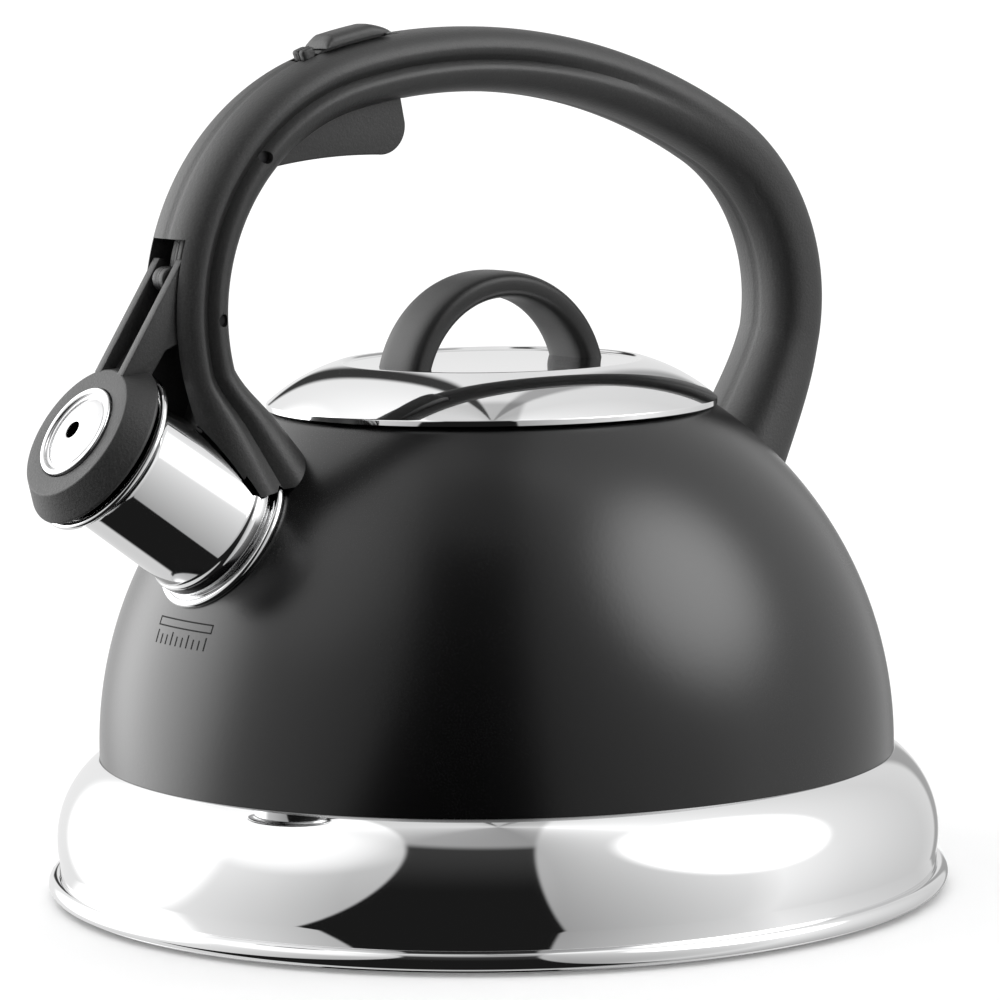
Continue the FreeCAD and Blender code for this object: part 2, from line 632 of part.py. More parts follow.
def make_cap():
    """The cap's ring lies square to the spout, and a channel of two cheeks rises from it to the pivot."""
    front_r, rear_r = size("cap_front_radius"), size("cap_rear_radius")
    front_s, rear_s = size("cap_front_place"), size("cap_rear_place")
    bore, ledge, seat = size("cap_bore_radius"), size("cap_ledge_radius"), size("disc_seat_place")
    pocket = size("disc_radius") + 0.05
    ring = turned(outline((bore, rear_s), (rear_r - 0.3, rear_s), (rear_r, rear_s + 0.5),
                          (front_r + 0.6, front_s - 0.4), (front_r, front_s), (pocket + 0.4, front_s),
                          (pocket, front_s - 0.4), (pocket, seat), (ledge, seat),
                          (ledge, seat - 1.5), (bore, seat - 1.5)))
    ring.Placement = SPOUT_PLACEMENT
    half = size("lever_width") / 2
    gap = half - size("cheek_thickness")
    lower_front = along_spout(15.0, front_s - 2.7)
    lower_back = along_spout(17.2, rear_s + 0.9)
    cheek_face = outline(front(6.4, 35.5), front(-10.2, 9.8), lower_front, lower_back, front(-3.0, 8.4),
                         front(1.5, 14.8), front(4.5, 16.0), front(14.5, 18.1), front(17.0, 21.6),
                         front(14.9, 24.4), front(8.0, 34.9))
    hub = cross_bar(*LEVER_PIVOT, size("hub_radius"), half)
    channel = prism(cheek_face, half).fuse(hub)
    web_face = outline(front(-7.0, 9.6), front(-3.0, 8.4), front(1.5, 14.8), front(4.5, 16.0),
                       front(10.0, 17.2), front(9.6, 19.5), front(3.0, 18.4), front(-1.2, 16.4))
    room = prism(outline(front(-20, 8.0), front(-20, 40), front(25, 40), front(25, 8.0)), gap)
    room = room.cut(prism(web_face, gap))
    keep_ring = Part.makeCylinder(rear_r, 20, point(0, rear_s))
    keep_ring.Placement = SPOUT_PLACEMENT
    arms = channel.cut([room.cut(keep_ring)])
    bores = [cross_bar(*LEVER_PIVOT, size("pin_hole_radius"), half),
             cross_bar(*CROSS_PIN, size("cross_pin_radius") + 0.02, half)]
    pocket_room = Part.makeCylinder(bore, seat - 1.5 - rear_s + 4, point(0, rear_s - 4))
    disc_room = Part.makeCylinder(pocket + 0.4, 10, point(0, seat))
    for shape in (pocket_room, disc_room):
        shape.Placement = SPOUT_PLACEMENT
    arms = arms.cut([pocket_room, disc_room])
    shaped("cap_lever", ring.fuse(arms).cut(bores))

    link_pin = doc.addObject("Part::Cylinder", "link_pin")
    bind(link_pin, Radius="Sizes.cross_pin_radius", Height="Sizes.lever_width")
    link_pin.Placement = Placement(Vector(CROSS_PIN[0], -half, CROSS_PIN[1]), Rotation(Vector(1, 0, 0), -90))
    keep("link_pin", link_pin)
    seal_low = SPOUT_PLACEMENT.multiply(Placement(point(0, rear_s - size("seal_thickness")), Rotation()))
    ring_body("cap_seal", "Sizes.seal_outer_radius", "Sizes.cap_bore_radius", "Sizes.seal_thickness",
              seal_low)
    make_whistle(seat)
    make_spring()


def make_whistle(seat):
    """Two pressed discs with a hole each; steam that passes both holes sounds the whistle."""
    edge, hole, wall = size("disc_radius"), size("whistle_hole_radius"), 0.8
    rise = 3.4
    inner = edge - wall
    face = outline((edge, seat), (edge, seat + rise - 0.5), (edge - 0.45, seat + rise),
                   (edge - 0.95, seat + rise), (edge - 1.6, seat + rise - 0.8), (edge - 2.65, seat + rise - 0.8),
                   ((edge * 0.5, seat + rise + 0.25), (hole, seat + rise + 0.6)), (hole, seat + rise - 0.2),
                   ((edge * 0.49, seat + rise - 0.55), (edge - 2.75, seat + rise - 1.6)),
                   (inner, seat + rise - 1.6), (inner, seat))
    shaped("whistle_front_disc", turned(face), SPOUT_PLACEMENT)
    back = pipe(inner - 0.05, hole, seat, seat + 0.6)
    shaped("whistle_rear_disc", back, SPOUT_PLACEMENT)


def make_spring():
    """The torsion spring round the lever's pivot: close turns, and a leg that lies on the channel's web."""
    wire, coil = size("spring_wire_radius"), size("spring_coil_radius")
    turns, gap = 5, 2 * size("spring_wire_radius") + 0.15
    rings = []
    for index in range(turns):
        place = Vector(LEVER_PIVOT[0], (index - (turns - 1) / 2) * gap, LEVER_PIVOT[1])
        rings.append(Part.makeTorus(coil, wire, place, Vector(0, 1, 0)))
    stack = Part.makeCylinder(coil, turns * gap - 0.2, Vector(LEVER_PIVOT[0], -(turns * gap - 0.2) / 2,
                                                              LEVER_PIVOT[1]), Vector(0, 1, 0))
    bore = cross_bar(*LEVER_PIVOT, coil - wire, turns * gap)
    leg = Part.makeCylinder(wire, 8.5, Vector(LEVER_PIVOT[0], 0, LEVER_PIVOT[1] + coil),
                            Vector(-1, 0, -0.22))
    spring = rings[0].fuse(rings[1:] + [stack.cut(bore), leg])
    shaped("lever_spring", spring)


# ---------------------------------------------------------------- pull link, thumb slide, trigger

def make_link():
    """A curved strip in the handle's front bend.  Its eye takes the lever's cross pin in a long hole, and
    its upper end turns out through the thumb slide's slot."""
    radius, half = size("link_radius"), size("link_thickness") / 2
    inner, outer = radius - half, radius + half
    low_turn, high_turn, finger_turn = 170.0, 108.3, 111.4
    strip = outline(on_circle(FRONT_BEND, inner, low_turn),
                    (on_circle(FRONT_BEND, inner, 139.0), on_circle(FRONT_BEND, inner, high_turn)),
                    on_circle(FRONT_BEND, outer + 5.6, high_turn),
                    on_circle(FRONT_BEND, outer + 5.6, finger_turn),
                    on_circle(FRONT_BEND, outer, finger_turn),
                    (on_circle(FRONT_BEND, outer, 139.0), on_circle(FRONT_BEND, outer, low_turn)))
    pin = size("cross_pin_radius")
    slack = pin + 0.65
    travel = 5.0
    x, z = CROSS_PIN

    def long_hole(grow):
        low, high = z - slack - grow, z + slack + grow
        start, end = x - 0.35, x + travel + 0.35
        reach = slack + grow
        return outline((start, low), (end, low), ((end + reach, z), (end, high)), (start, high),
                       ((start - reach, z), (start, low)))

    wall = 1.1
    shape = prism(strip, size("link_width") / 2).fuse(prism(long_hole(wall), size("link_width") / 2))
    shaped("pull_link", shape.cut(prism(long_hole(0.0), size("link_width"))))


def make_thumb_slide():
    """The hump that the thumb pushes, its neck in the slot, and the wedge that the trigger's bar lifts."""
    gap = 0.75
    skin = TOP_RADIUS + HALF_THICK + gap
    left, right = FRONT_BEND[0] - 19.0, FRONT_BEND[0] - 0.4
    # where the hump's underside follows the handle's back

    def above(x, lift):
        return x, TOP_BEND[1] + math.sqrt(skin ** 2 - (x - TOP_BEND[0]) ** 2) + lift

    middle = (left + right) / 2
    width = size("thumb_width")
    profile = prism(outline(above(left + 0.4, 0.0), (above(middle, 0.0), above(right, 0.0)),
                            (above(right - 1.2, 1.3), above(right - 4.6, 2.5)),
                            (above(middle, 2.6), above(left + 2.0, 2.0))), width)
    start, end = (bearing(TOP_BEND, above(x, 0.0)) for x in (right + 1.0, left - 1.0))
    section = Part.Face(rounded_section(on_circle(TOP_BEND, skin - 3.0, start),
                                        on_circle(TOP_BEND, skin + 2.7, start), width, 1.4))
    hump = profile.common(section.revolve(point(*TOP_BEND), Vector(0, -1, 0), end - start))
    neck_half = size("thumb_slot_width") / 2 - 0.3
    roof = TOP_BEND[1] + math.sqrt((TOP_RADIUS + HALF_THICK - size("handle_wall")) ** 2
                                   - (middle - TOP_BEND[0]) ** 2)
    face_turn = 108.2
    neck = prism(outline(on_circle(FRONT_BEND, 60.4, face_turn), on_circle(FRONT_BEND, 63.4, face_turn),
                         above(left + 3, 1.0), above(right - 1.4, 1.0), (right - 1.4, roof + 1.2),
                         (right - 4.0, roof - 0.3), (right - 10.0, roof - 1.4)), neck_half)
    nose_x, nose_z = NOSE
    clear = size("nose_radius") + 0.35
    start = (nose_x + 0.659 * clear + 1.5, nose_z + 0.752 * clear - 1.31)
    wedge = prism(outline(start, (start[0] - 7.9, start[1] + 6.95), (start[0] + 0.6, roof + 1.0),
                          (start[0] + 0.6, start[1])), neck_half)
    shaped("thumb_slide", hump.fuse([neck, wedge]))


def make_trigger():
    """A channel that hangs below the handle: two plates, a floor and the bar that lifts the slide."""
    half, wall = size("trigger_width") / 2, size("trigger_wall")
    hub_low = front(30.0, 56.2)
    plates = outline(hub_low, front(32.6, 55.6), (front(47.0, 57.3), front(62.3, 57.5)),
                     (front(68.0, 59.6), front(69.8, 65.0)), front(68.2, 73.4), front(58.0, 74.6),
                     front(47.0, 71.5), front(28.0, 61.6))
    hub = cross_bar(*TRIGGER_PIVOT, size("hub_radius"), half)
    solid = prism(plates, half).fuse(hub)
    room = prism(outline(front(33.5, 58.2), (front(47.0, 59.4), front(62.2, 59.7)),
                         (front(66.8, 61.2), front(67.9, 65.3)), front(67.2, 80), front(33.5, 80)),
                 half - wall)
    bar = cross_bar(*NOSE, size("nose_radius"), half)
    bore = cross_bar(*TRIGGER_PIVOT, size("pin_hole_radius"), half)
    shaped("trigger", solid.cut(room).fuse(bar).cut(bore))


# ---------------------------------------------------------------- build, check and write

def check(label, feature):
    problems = [state for state in feature.State if state in ("Invalid", "Error")]
    if problems or feature.Shape.isNull() or not feature.Shape.isValid() or not feature.Shape.Solids:
        raise RuntimeError(f"{label}: {problems or 'shape is null or not valid'}")


def main():
    make_base()
    make_skirt()
    make_dome()
    make_spout()
    make_lid()
    make_handle()
    make_brackets()
    make_pins()
    make_cap()
    make_link()
    make_thumb_slide()
    make_trigger()
    doc.recompute()
    for item in doc.Objects:
        if any(state in ("Invalid", "Error") for state in item.State):
            raise RuntimeError(f"{item.Label} did not compute: {item.State}")
    for label, feature in NODES.items():
        check(label, feature)
    os.makedirs("parts", exist_ok=True)
    for label, feature in NODES.items():
        feature.Shape.exportStep(f"parts/{label}.step")
        box = feature.Shape.BoundBox
        print(f"{label:22s} solids {len(feature.Shape.Solids)} volume {feature.Shape.Volume / 1000:8.2f} cm3"
              f"  x {box.XMin:7.1f} {box.XMax:7.1f}  y {box.YMin:6.1f} {box.YMax:6.1f}"
              f"  z {box.ZMin:6.1f} {box.ZMax:6.1f}")


main()
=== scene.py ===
"""Looks of a stovetop whistling kettle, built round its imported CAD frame.

Lengths are millimetres until a mesh is made, when they become metres.  The kettle stands on Z = 0, its
spout points to -X, and the handle, the spout and the knob lie in the plane Y = 0.
"""
import logging
import math
from dataclasses import dataclass, field
from enum import Enum

import bmesh
import bpy
import numpy as np
from mathutils import Matrix, Vector


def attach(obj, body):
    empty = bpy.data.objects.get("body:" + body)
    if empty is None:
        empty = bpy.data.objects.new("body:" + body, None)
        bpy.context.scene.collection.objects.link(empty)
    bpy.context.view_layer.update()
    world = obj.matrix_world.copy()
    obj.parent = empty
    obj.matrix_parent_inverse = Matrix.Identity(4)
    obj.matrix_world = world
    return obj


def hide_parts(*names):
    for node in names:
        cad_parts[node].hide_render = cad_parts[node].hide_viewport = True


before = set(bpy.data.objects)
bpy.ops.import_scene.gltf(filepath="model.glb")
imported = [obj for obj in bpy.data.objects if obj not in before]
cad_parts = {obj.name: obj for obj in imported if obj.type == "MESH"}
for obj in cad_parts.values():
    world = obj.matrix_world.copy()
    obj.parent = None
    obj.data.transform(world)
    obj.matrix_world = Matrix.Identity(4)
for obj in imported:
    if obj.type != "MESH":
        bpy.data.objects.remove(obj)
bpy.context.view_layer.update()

LOG = logging.getLogger("kettle")
MM = 0.001
CREASE_ANGLE = math.radians(38.0)
HANDLE_CREASE = math.radians(42.0)
MERGE = 1e-7
Array = np.ndarray
Thing = bpy.types.Object


class Slot(Enum):
    """The record's material slots."""

    PAINT = "painted_black"
    POLISHED = "polished_steel"
    PAN = "pan_steel"
    SPREADER = "spreader_aluminium"
    PLASTIC = "black_plastic"
    WHISTLE = "whistle_steel"
    SEAL = "seal_silicone"
    FASTENER = "fastener_steel"


# ------------------------------------------------------------------ shader maths

class Socket:
    """An output socket whose arithmetic adds Math nodes to its tree."""

    def __init__(self, tree: "Nodes", socket: bpy.types.NodeSocket) -> None:
        """Keeps the tree and the socket."""
        self.tree, self.socket = tree, socket

    def _math(self, operation: str, *values: "Socket | float") -> "Socket":
        """One Math node of that operation.

        Args:
            operation: its operation.
            values: its inputs, in order.
        Returns:
            Its output.
        """
        return self.tree.add("ShaderNodeMath", {"operation": operation}, list(values))

    def __add__(self, other: "Socket | float") -> "Socket":
        """Sum."""
        return self._math("ADD", self, other)

    def __sub__(self, other: "Socket | float") -> "Socket":
        """Difference."""
        return self._math("SUBTRACT", self, other)

    def __rsub__(self, other: float) -> "Socket":
        """Difference with the number first."""
        return self._math("SUBTRACT", other, self)

    def __mul__(self, other: "Socket | float") -> "Socket":
        """Product."""
        return self._math("MULTIPLY", self, other)

    def __truediv__(self, other: "Socket | float") -> "Socket":
        """Quotient."""
        return self._math("DIVIDE", self, other)

    __radd__ = __add__
    __rmul__ = __mul__

    def size(self) -> "Socket":
        """Absolute value."""
        return self._math("ABSOLUTE", self)

    def step(self, low: float, high: float) -> "Socket":
        """Smooth step: 0 below low, 1 above high, and 3t^2 - 2t^3 between them.

        Args:
            low: where it leaves 0.
            high: where it reaches 1.
        Returns:
            The step.
        """
        return self.tree.add("ShaderNodeMapRange", {"interpolation_type": "SMOOTHSTEP"},
                             {"Value": self, "From Min": low, "From Max": high, "To Min": 0.0,
                              "To Max": 1.0}, "Result")

    def band(self, low: float, high: float, soft: float) -> "Socket":
        """1 between low and high, and 0 outside them, over a soft border.

        Args:
            low: where the band starts.
            high: where it ends.
            soft: half width of its border.
        Returns:
            The band.
        """
        return self.step(low - soft, low + soft) * (1.0 - self.step(high - soft, high + soft))


class Nodes:
    """A node tree, and the methods that add nodes to it."""

    def __init__(self, tree: bpy.types.NodeTree) -> None:
        """Empties the tree."""
        self.tree = tree
        tree.nodes.clear()

    def add(self, kind: str, settings: dict, sockets: dict | list, output: str | int = 0) -> Socket:
        """Adds a node.

        Args:
            kind: the node's type.
            settings: attributes, set before anything is linked.  A ramp's stops are under "stops".
            sockets: numbers, colours or Sockets, by input name or in order.
            output: the output that is returned.
        Returns:
            The output as a Socket, whose node is at .socket.node.
        """
        node = self.tree.nodes.new(kind)
        for key, setting in settings.items():
            if key == "stops":
                self._stops(node.color_ramp, setting)
            else:
                setattr(node, key, setting)
        pairs = sockets.items() if isinstance(sockets, dict) else enumerate(sockets)
        for key, value in pairs:
            if isinstance(value, Socket):
                self.tree.links.new(value.socket, node.inputs[key])
            else:
                node.inputs[key].default_value = value
        return Socket(self, node.outputs[output]) if node.outputs else None

    @staticmethod
    def _stops(ramp: bpy.types.ColorRamp, stops: list[tuple[float, float]]) -> None:
        """Gives a ramp its (place, grey) stops.

        Args:
            ramp: the node's ramp.
            stops: (place, grey) pairs in rising order.
        """
        for index, (place, grey) in enumerate(stops):
            stop = ramp.elements[index] if index < 2 else ramp.elements.new(place)
            stop.position, stop.color = place, (grey, grey, grey, 1.0)

    def place(self, scale: tuple[float, float, float] = (1.0, 1.0, 1.0)) -> Socket:
        """Object coordinates, in metres, stretched by a Mapping node.

        Args:
            scale: stretch along each axis.
        Returns:
            The coordinates.
        """
        where = self.add("ShaderNodeTexCoord", {}, {}, "Object")
        return self.add("ShaderNodeMapping", {}, {"Vector": where, "Scale": scale})

    def noise(self, where: Socket, scale: float, detail: float = 3.0, rough: float = 0.5) -> Socket:
        """Fractal noise from 0 to 1.

        Args:
            where: coordinates.
            scale: cells per metre.
            detail: octaves.
            rough: strength of each next octave.
        Returns:
            The noise.
        """
        return self.add("ShaderNodeTexNoise", {}, {"Vector": where, "Scale": scale, "Detail": detail,
                                                   "Roughness": rough}, 0)

    def blend(self, share: "Socket | float", low: tuple, high: tuple) -> Socket:
        """A colour between two, through a Mix node.

        Args:
            share: 0 gives low and 1 gives high.
            low: a colour.
            high: a colour.
        Returns:
            The colour.
        """
        factor, first, second, mixed = 0, 6, 7, 2
        return self.add("ShaderNodeMix", {"data_type": "RGBA"},
                        {factor: share, first: (*low, 1.0), second: (*high, 1.0)}, mixed)

    def ramp(self, share: Socket, stops: list[tuple[float, float]]) -> Socket:
        """The grey that a ramp of (place, grey) stops gives at share.

        Args:
            share: place along the ramp.
            stops: (place, grey) pairs in rising order.
        Returns:
            The grey.
        """
        return self.add("ShaderNodeValToRGB", {"stops": stops}, {"Fac": share})

    def bump(self, height: Socket, depth: float, strength: float = 1.0) -> Socket:
        """A Bump node whose full height is depth metres.

        Args:
            height: 0 to 1.
            depth: metres.
            strength: share of the bump that shows.
        Returns:
            The normal.
        """
        return self.add("ShaderNodeBump", {}, {"Height": height, "Distance": depth, "Strength": strength})


@dataclass(frozen=True)
class Finish:
    """What every finish shares: its name, and the shader numbers that are the same all over."""

    name: str = "finish"
    metallic: float = 0.0
    coat: float = 0.0
    coat_roughness: float = 0.05
    specular: float = 0.5

    def paint(self, nodes: Nodes) -> dict:
        """Adds the finish's pattern.

        Args:
            nodes: the material's tree.
        Returns:
            Links for Base Color, Roughness and Normal.
        """
        raise NotImplementedError

    def material(self) -> bpy.types.Material:
        """The finish as a material, made the first time it is asked for."""
        known = bpy.data.materials.get(self.name)
        if known:
            return known
        material = bpy.data.materials.new(self.name)
        material.use_nodes = True
        nodes = Nodes(material.node_tree)
        sockets = {"Metallic": self.metallic, "Coat Weight": self.coat,
                   "Coat Roughness": self.coat_roughness, "Specular IOR Level": self.specular}
        shader = nodes.add("ShaderNodeBsdfPrincipled", {}, {**sockets, **self.paint(nodes)})
        nodes.add("ShaderNodeOutputMaterial", {}, {"Surface": shader})
        return material


@dataclass(frozen=True)
class MattPaint(Finish):
    """Fine matt black paint: an even coat with a slight orange peel and faint handling marks."""

    name: str = "matt_black_paint"
    roughness: float = 0.25
    specular: float = 0.42

    def paint(self, nodes: Nodes) -> dict:
        """Peel of about 1.2 mm, and slow changes of sheen over some 40 mm.

        Args:
            nodes: the material's tree.
        Returns:
            Links for Base Color, Roughness and Normal.
        """
        where = nodes.place()
        peel = nodes.noise(where, 900.0, 2.0)
        slow = nodes.noise(where, 26.0, 3.0)
        speck = nodes.noise(where, 4200.0, 1.0)
        return {"Base Color": nodes.blend(slow, (0.0005, 0.0005, 0.0006), (0.0010, 0.0010, 0.0011)),
                "Roughness": self.roughness + (slow - 0.5) * 0.07 + (speck - 0.5) * 0.08,
                "Normal": nodes.bump(peel + speck * 0.35, 0.000012)}


@dataclass(frozen=True)
class MirrorSteel(Finish):
    """Mirror-polished steel: almost clean, with hairlines from wiping and a faint haze."""

    name: str = "mirror_polished_steel"
    metallic: float = 1.0
    grey: float = 0.66
    roughness: float = 0.035

    def paint(self, nodes: Nodes) -> dict:
        """Hairlines are noise stretched along the ring; the haze is slow noise.

        Args:
            nodes: the material's tree.
        Returns:
            Links for Base Color, Roughness and Normal.
        """
        haze = nodes.noise(nodes.place(), 18.0, 4.0)
        lines = nodes.noise(nodes.place((60.0, 60.0, 2600.0)), 1.0, 2.0)
        grey = self.grey
        return {"Base Color": nodes.blend(haze, (grey - 0.03, grey - 0.028, grey - 0.025),
                                          (grey + 0.02, grey + 0.02, grey + 0.022)),
                "Roughness": self.roughness + haze.step(0.45, 0.8) * 0.035 + lines.step(0.62, 0.8) * 0.03,
                "Normal": nodes.bump(lines, 0.0000008)}


@dataclass(frozen=True)
class SatinSteel(Finish):
    """Pressed or drawn steel with a soft satin surface."""

    name: str = "satin_steel"
    metallic: float = 1.0
    grey: float = 0.72
    roughness: float = 0.24
    grain: float = 1400.0

    def paint(self, nodes: Nodes) -> dict:
        """A fine drawn grain, and darker patches where it has been handled.

        Args:
            nodes: the material's tree.
        Returns:
            Links for Base Color, Roughness and Normal.
        """
        grain = nodes.noise(nodes.place((1.0, 1.0, 0.15)), self.grain, 3.0)
        patch = nodes.noise(nodes.place(), 60.0, 3.0)
        grey = self.grey
        return {"Base Color": nodes.blend(patch, (grey - 0.06, grey - 0.06, grey - 0.055),
                                          (grey + 0.04, grey + 0.04, grey + 0.042)),
                "Roughness": self.roughness + (grain - 0.5) * 0.16 + (patch - 0.5) * 0.1,
                "Normal": nodes.bump(grain, 0.000004)}


@dataclass(frozen=True)
class GrainedNylon(Finish):
    """Black moulded nylon with a fine spark-eroded grain, a little paler on its high spots."""

    name: str = "grained_black_nylon"
    grey: float = 0.010
    roughness: float = 0.50
    grain: float = 2300.0
    depth: float = 0.00009
    specular: float = 0.5

    def paint(self, nodes: Nodes) -> dict:
        """Grain of about 0.45 mm with a finer one on it; the roughness falls a little on worn spots.

        Args:
            nodes: the material's tree.
        Returns:
            Links for Base Color, Roughness and Normal.
        """
        where = nodes.place()
        grain = nodes.noise(where, self.grain, 4.0, 0.62)
        cells = nodes.add("ShaderNodeTexVoronoi", {"feature": "SMOOTH_F1"},
                          {"Vector": where, "Scale": self.grain * 0.55, "Smoothness": 0.6}, "Distance")
        wear = nodes.noise(where, 34.0, 3.0)
        grey = self.grey
        height = grain * 0.65 + cells * 0.35
        return {"Base Color": nodes.blend(grain.step(0.4, 0.7), (grey * 0.62,) * 3, (grey * 1.55,) * 3),
                "Roughness": self.roughness + (grain - 0.5) * 0.18 - wear.step(0.5, 0.85) * 0.06,
                "Normal": nodes.bump(height, self.depth)}


@dataclass(frozen=True)
class Silicone(Finish):
    """Soft black silicone with a dusty bloom."""

    name: str = "black_silicone"
    specular: float = 0.35

    def paint(self, nodes: Nodes) -> dict:
        """Slow bloom and a fine skin.

        Args:
            nodes: the material's tree.
        Returns:
            Links for Base Color, Roughness and Normal.
        """
        bloom = nodes.noise(nodes.place(), 120.0, 4.0)
        skin = nodes.noise(nodes.place(), 2600.0, 2.0)
        return {"Base Color": nodes.blend(bloom, (0.010, 0.010, 0.010), (0.022, 0.022, 0.023)),
                "Roughness": 0.62 + (bloom - 0.5) * 0.2,
                "Normal": nodes.bump(skin, 0.00002)}


@dataclass(frozen=True)
class RingTurned(Finish):
    """A disc with concentric turning marks: the aluminium spreader and the base's cover."""

    name: str = "turned_aluminium"
    metallic: float = 1.0
    grey: float = 0.68
    pitch: float = 0.0011

    def paint(self, nodes: Nodes) -> dict:
        """Rings of equal pitch about the kettle's axis, with heat-dulled patches.

        Args:
            nodes: the material's tree.
        Returns:
            Links for Base Color, Roughness and Normal.
        """
        where = nodes.place((1.0, 1.0, 0.0))
        away = nodes.add("ShaderNodeVectorMath", {"operation": "LENGTH"}, {0: where}, "Value")
        ring = nodes.add("ShaderNodeMath", {"operation": "PINGPONG"}, [away, self.pitch / 2.0]) / self.pitch
        dull = nodes.noise(nodes.place(), 22.0, 4.0)
        grey = self.grey
        return {"Base Color": nodes.blend(dull, (grey - 0.12, grey - 0.12, grey - 0.115),
                                          (grey + 0.05, grey + 0.05, grey + 0.052)),
                "Roughness": 0.3 + (dull - 0.5) * 0.25 + ring * 0.08,
                "Normal": nodes.bump(ring, 0.00001)}


@dataclass(frozen=True)
class PrintedInk(Finish):
    """Matt black ink of the fill mark, a little uneven in density."""

    name: str = "printed_ink"
    specular: float = 0.1

    def paint(self, nodes: Nodes) -> dict:
        """Ink whose density changes over half a millimetre.

        Args:
            nodes: the material's tree.
        Returns:
            Links for Base Color, Roughness and Normal.
        """
        thin = nodes.noise(nodes.place(), 1900.0, 3.0)
        return {"Base Color": nodes.blend(thin.step(0.35, 0.75), (0.004,) * 3, (0.012,) * 3),
                "Roughness": 0.6 + thin * 0.1,
                "Normal": nodes.bump(thin, 0.000006)}


PAINT = MattPaint()
CHROME = MirrorSteel()
NYLON = GrainedNylon()
SMOOTH_NYLON = GrainedNylon(name="fine_black_nylon", grey=0.007, roughness=0.44, specular=0.32,
                            grain=3400.0, depth=0.00004)
STEEL = SatinSteel()
BRIGHT_STEEL = SatinSteel(name="bright_pressed_steel", grey=0.60, roughness=0.16, grain=900.0)
DARK_STEEL = SatinSteel(name="dark_pin_steel", grey=0.02, roughness=0.5)
RUBBER = Silicone()
ALUMINIUM = RingTurned()
COVER = RingTurned(name="turned_steel", grey=0.60, pitch=0.0016)
INK = PrintedInk()


# ------------------------------------------------------------------ profiles and surfaces

def line(start: tuple[float, float], *steps: tuple) -> Array:
    """A profile of lines and arcs.

    Args:
        start: first point (r, z).
        steps: a point that a line runs to, or (middle, end), which an arc runs through.
    Returns:
        Points, n by 2.  An arc is the circle through its three points, in equal turns.
    """
    runs = [np.array([start], float)]
    for step in steps:
        if isinstance(step[0], tuple):
            runs.append(arc(runs[-1][-1], np.array(step[0]), np.array(step[1]))[1:])
        else:
            runs.append(np.array([step], float))
    return np.concatenate(runs)


def arc(start: Array, middle: Array, end: Array, steps: int = 28) -> Array:
    """Points on the circle through three points: centre c + radius (cos t, sin t), t in equal steps.

    Args:
        start: first point (r, z).
        middle: a point on the way.
        end: last point.
        steps: number of points.
    Returns:
        Points, steps by 2.
    """
    rows = 2.0 * np.array([middle - start, end - start])
    squares = np.array([middle @ middle - start @ start, end @ end - start @ start])
    centre = np.linalg.solve(rows, squares)
    spokes = np.array([start, middle, end]) - centre
    turns = np.unwrap(np.arctan2(spokes[:, 1], spokes[:, 0]))
    t = np.linspace(turns[0], turns[2], steps)
    return centre + np.hypot(*spokes[0]) * np.stack([np.cos(t), np.sin(t)], 1)


def circle(centre: tuple[float, float], radius: float, start: float, end: float, steps: int = 28) -> Array:
    """An arc given by its centre, radius and two directions in degrees.

    Args:
        centre: its centre.
        radius: its radius.
        start: first direction.
        end: last direction.
        steps: number of points.
    Returns:
        Points, steps by 2.
    """
    t = np.radians(np.linspace(start, end, steps))
    return np.array(centre) + radius * np.stack([np.cos(t), np.sin(t)], 1)


def eased(points: Array, radius: float, closed: bool = True, steps: int = 5) -> Array:
    """Rounds the corners of a profile.

    Each corner v turned by over 20 degrees becomes (1-t)^2 a + 2t(1-t) v + t^2 b, where a and b lie on its
    two sides, a radius away or at most 0.45 of the side.

    Args:
        points: the profile, n by 2.
        radius: size of the rounding.
        closed: whether the last point joins the first.
        steps: points per corner.
    Returns:
        The rounded profile.
    """
    before, after = np.roll(points, 1, 0) - points, np.roll(points, -1, 0) - points
    long_b, long_a = np.linalg.norm(before, axis=1), np.linalg.norm(after, axis=1)
    unit_b = before / np.maximum(long_b, 1e-9)[:, None]
    unit_a = after / np.maximum(long_a, 1e-9)[:, None]
    straight = (unit_b * unit_a).sum(1)
    corner = straight > -math.cos(math.radians(20.0))
    if not closed:
        corner[[0, -1]] = False
    reach = np.minimum(radius, 0.45 * np.minimum(long_b, long_a)) * corner
    t = np.linspace(0.0, 1.0, steps)[None, :, None]
    a, b = points + unit_b * reach[:, None], points + unit_a * reach[:, None]
    curve = (1 - t) ** 2 * a[:, None] + 2 * t * (1 - t) * points[:, None] + t ** 2 * b[:, None]
    flat = curve.reshape(-1, 2)
    keep = np.linalg.norm(flat - np.roll(flat, 1, 0), axis=1) > 1e-5
    keep[0] = keep[0] or not closed
    return flat[keep]


def turned(profile: Array, segments: int = 256) -> Array:
    """Grid of a turned surface: (r cos v, r sin v, z) for each profile point and each turn v.

    Args:
        profile: points (r, z).
        segments: number of turns.
    Returns:
        Points, profile by segments by 3.
    """
    v = np.linspace(0.0, 2 * np.pi, segments, endpoint=False)
    r, z = profile[:, :1], profile[:, 1:]
    return np.stack([r * np.cos(v), r * np.sin(v), z + 0.0 * v], 2)


@dataclass(frozen=True)
class Place:
    """An origin and an orientation in the kettle's frame."""

    origin: tuple[float, float, float] = (0.0, 0.0, 0.0)
    across: tuple[float, float, float] = (1.0, 0.0, 0.0)
    along: tuple[float, float, float] = (0.0, 0.0, 1.0)

    def carry(self, points: Array) -> Array:
        """Moves points (..., 3) from this place's own axes to the kettle's.

        Args:
            points: in this place.
        Returns:
            The same points in the kettle's frame.
        """
        x, z = np.array(self.across), np.array(self.along)
        return points @ np.stack([x, np.cross(z, x), z]) + np.array(self.origin)


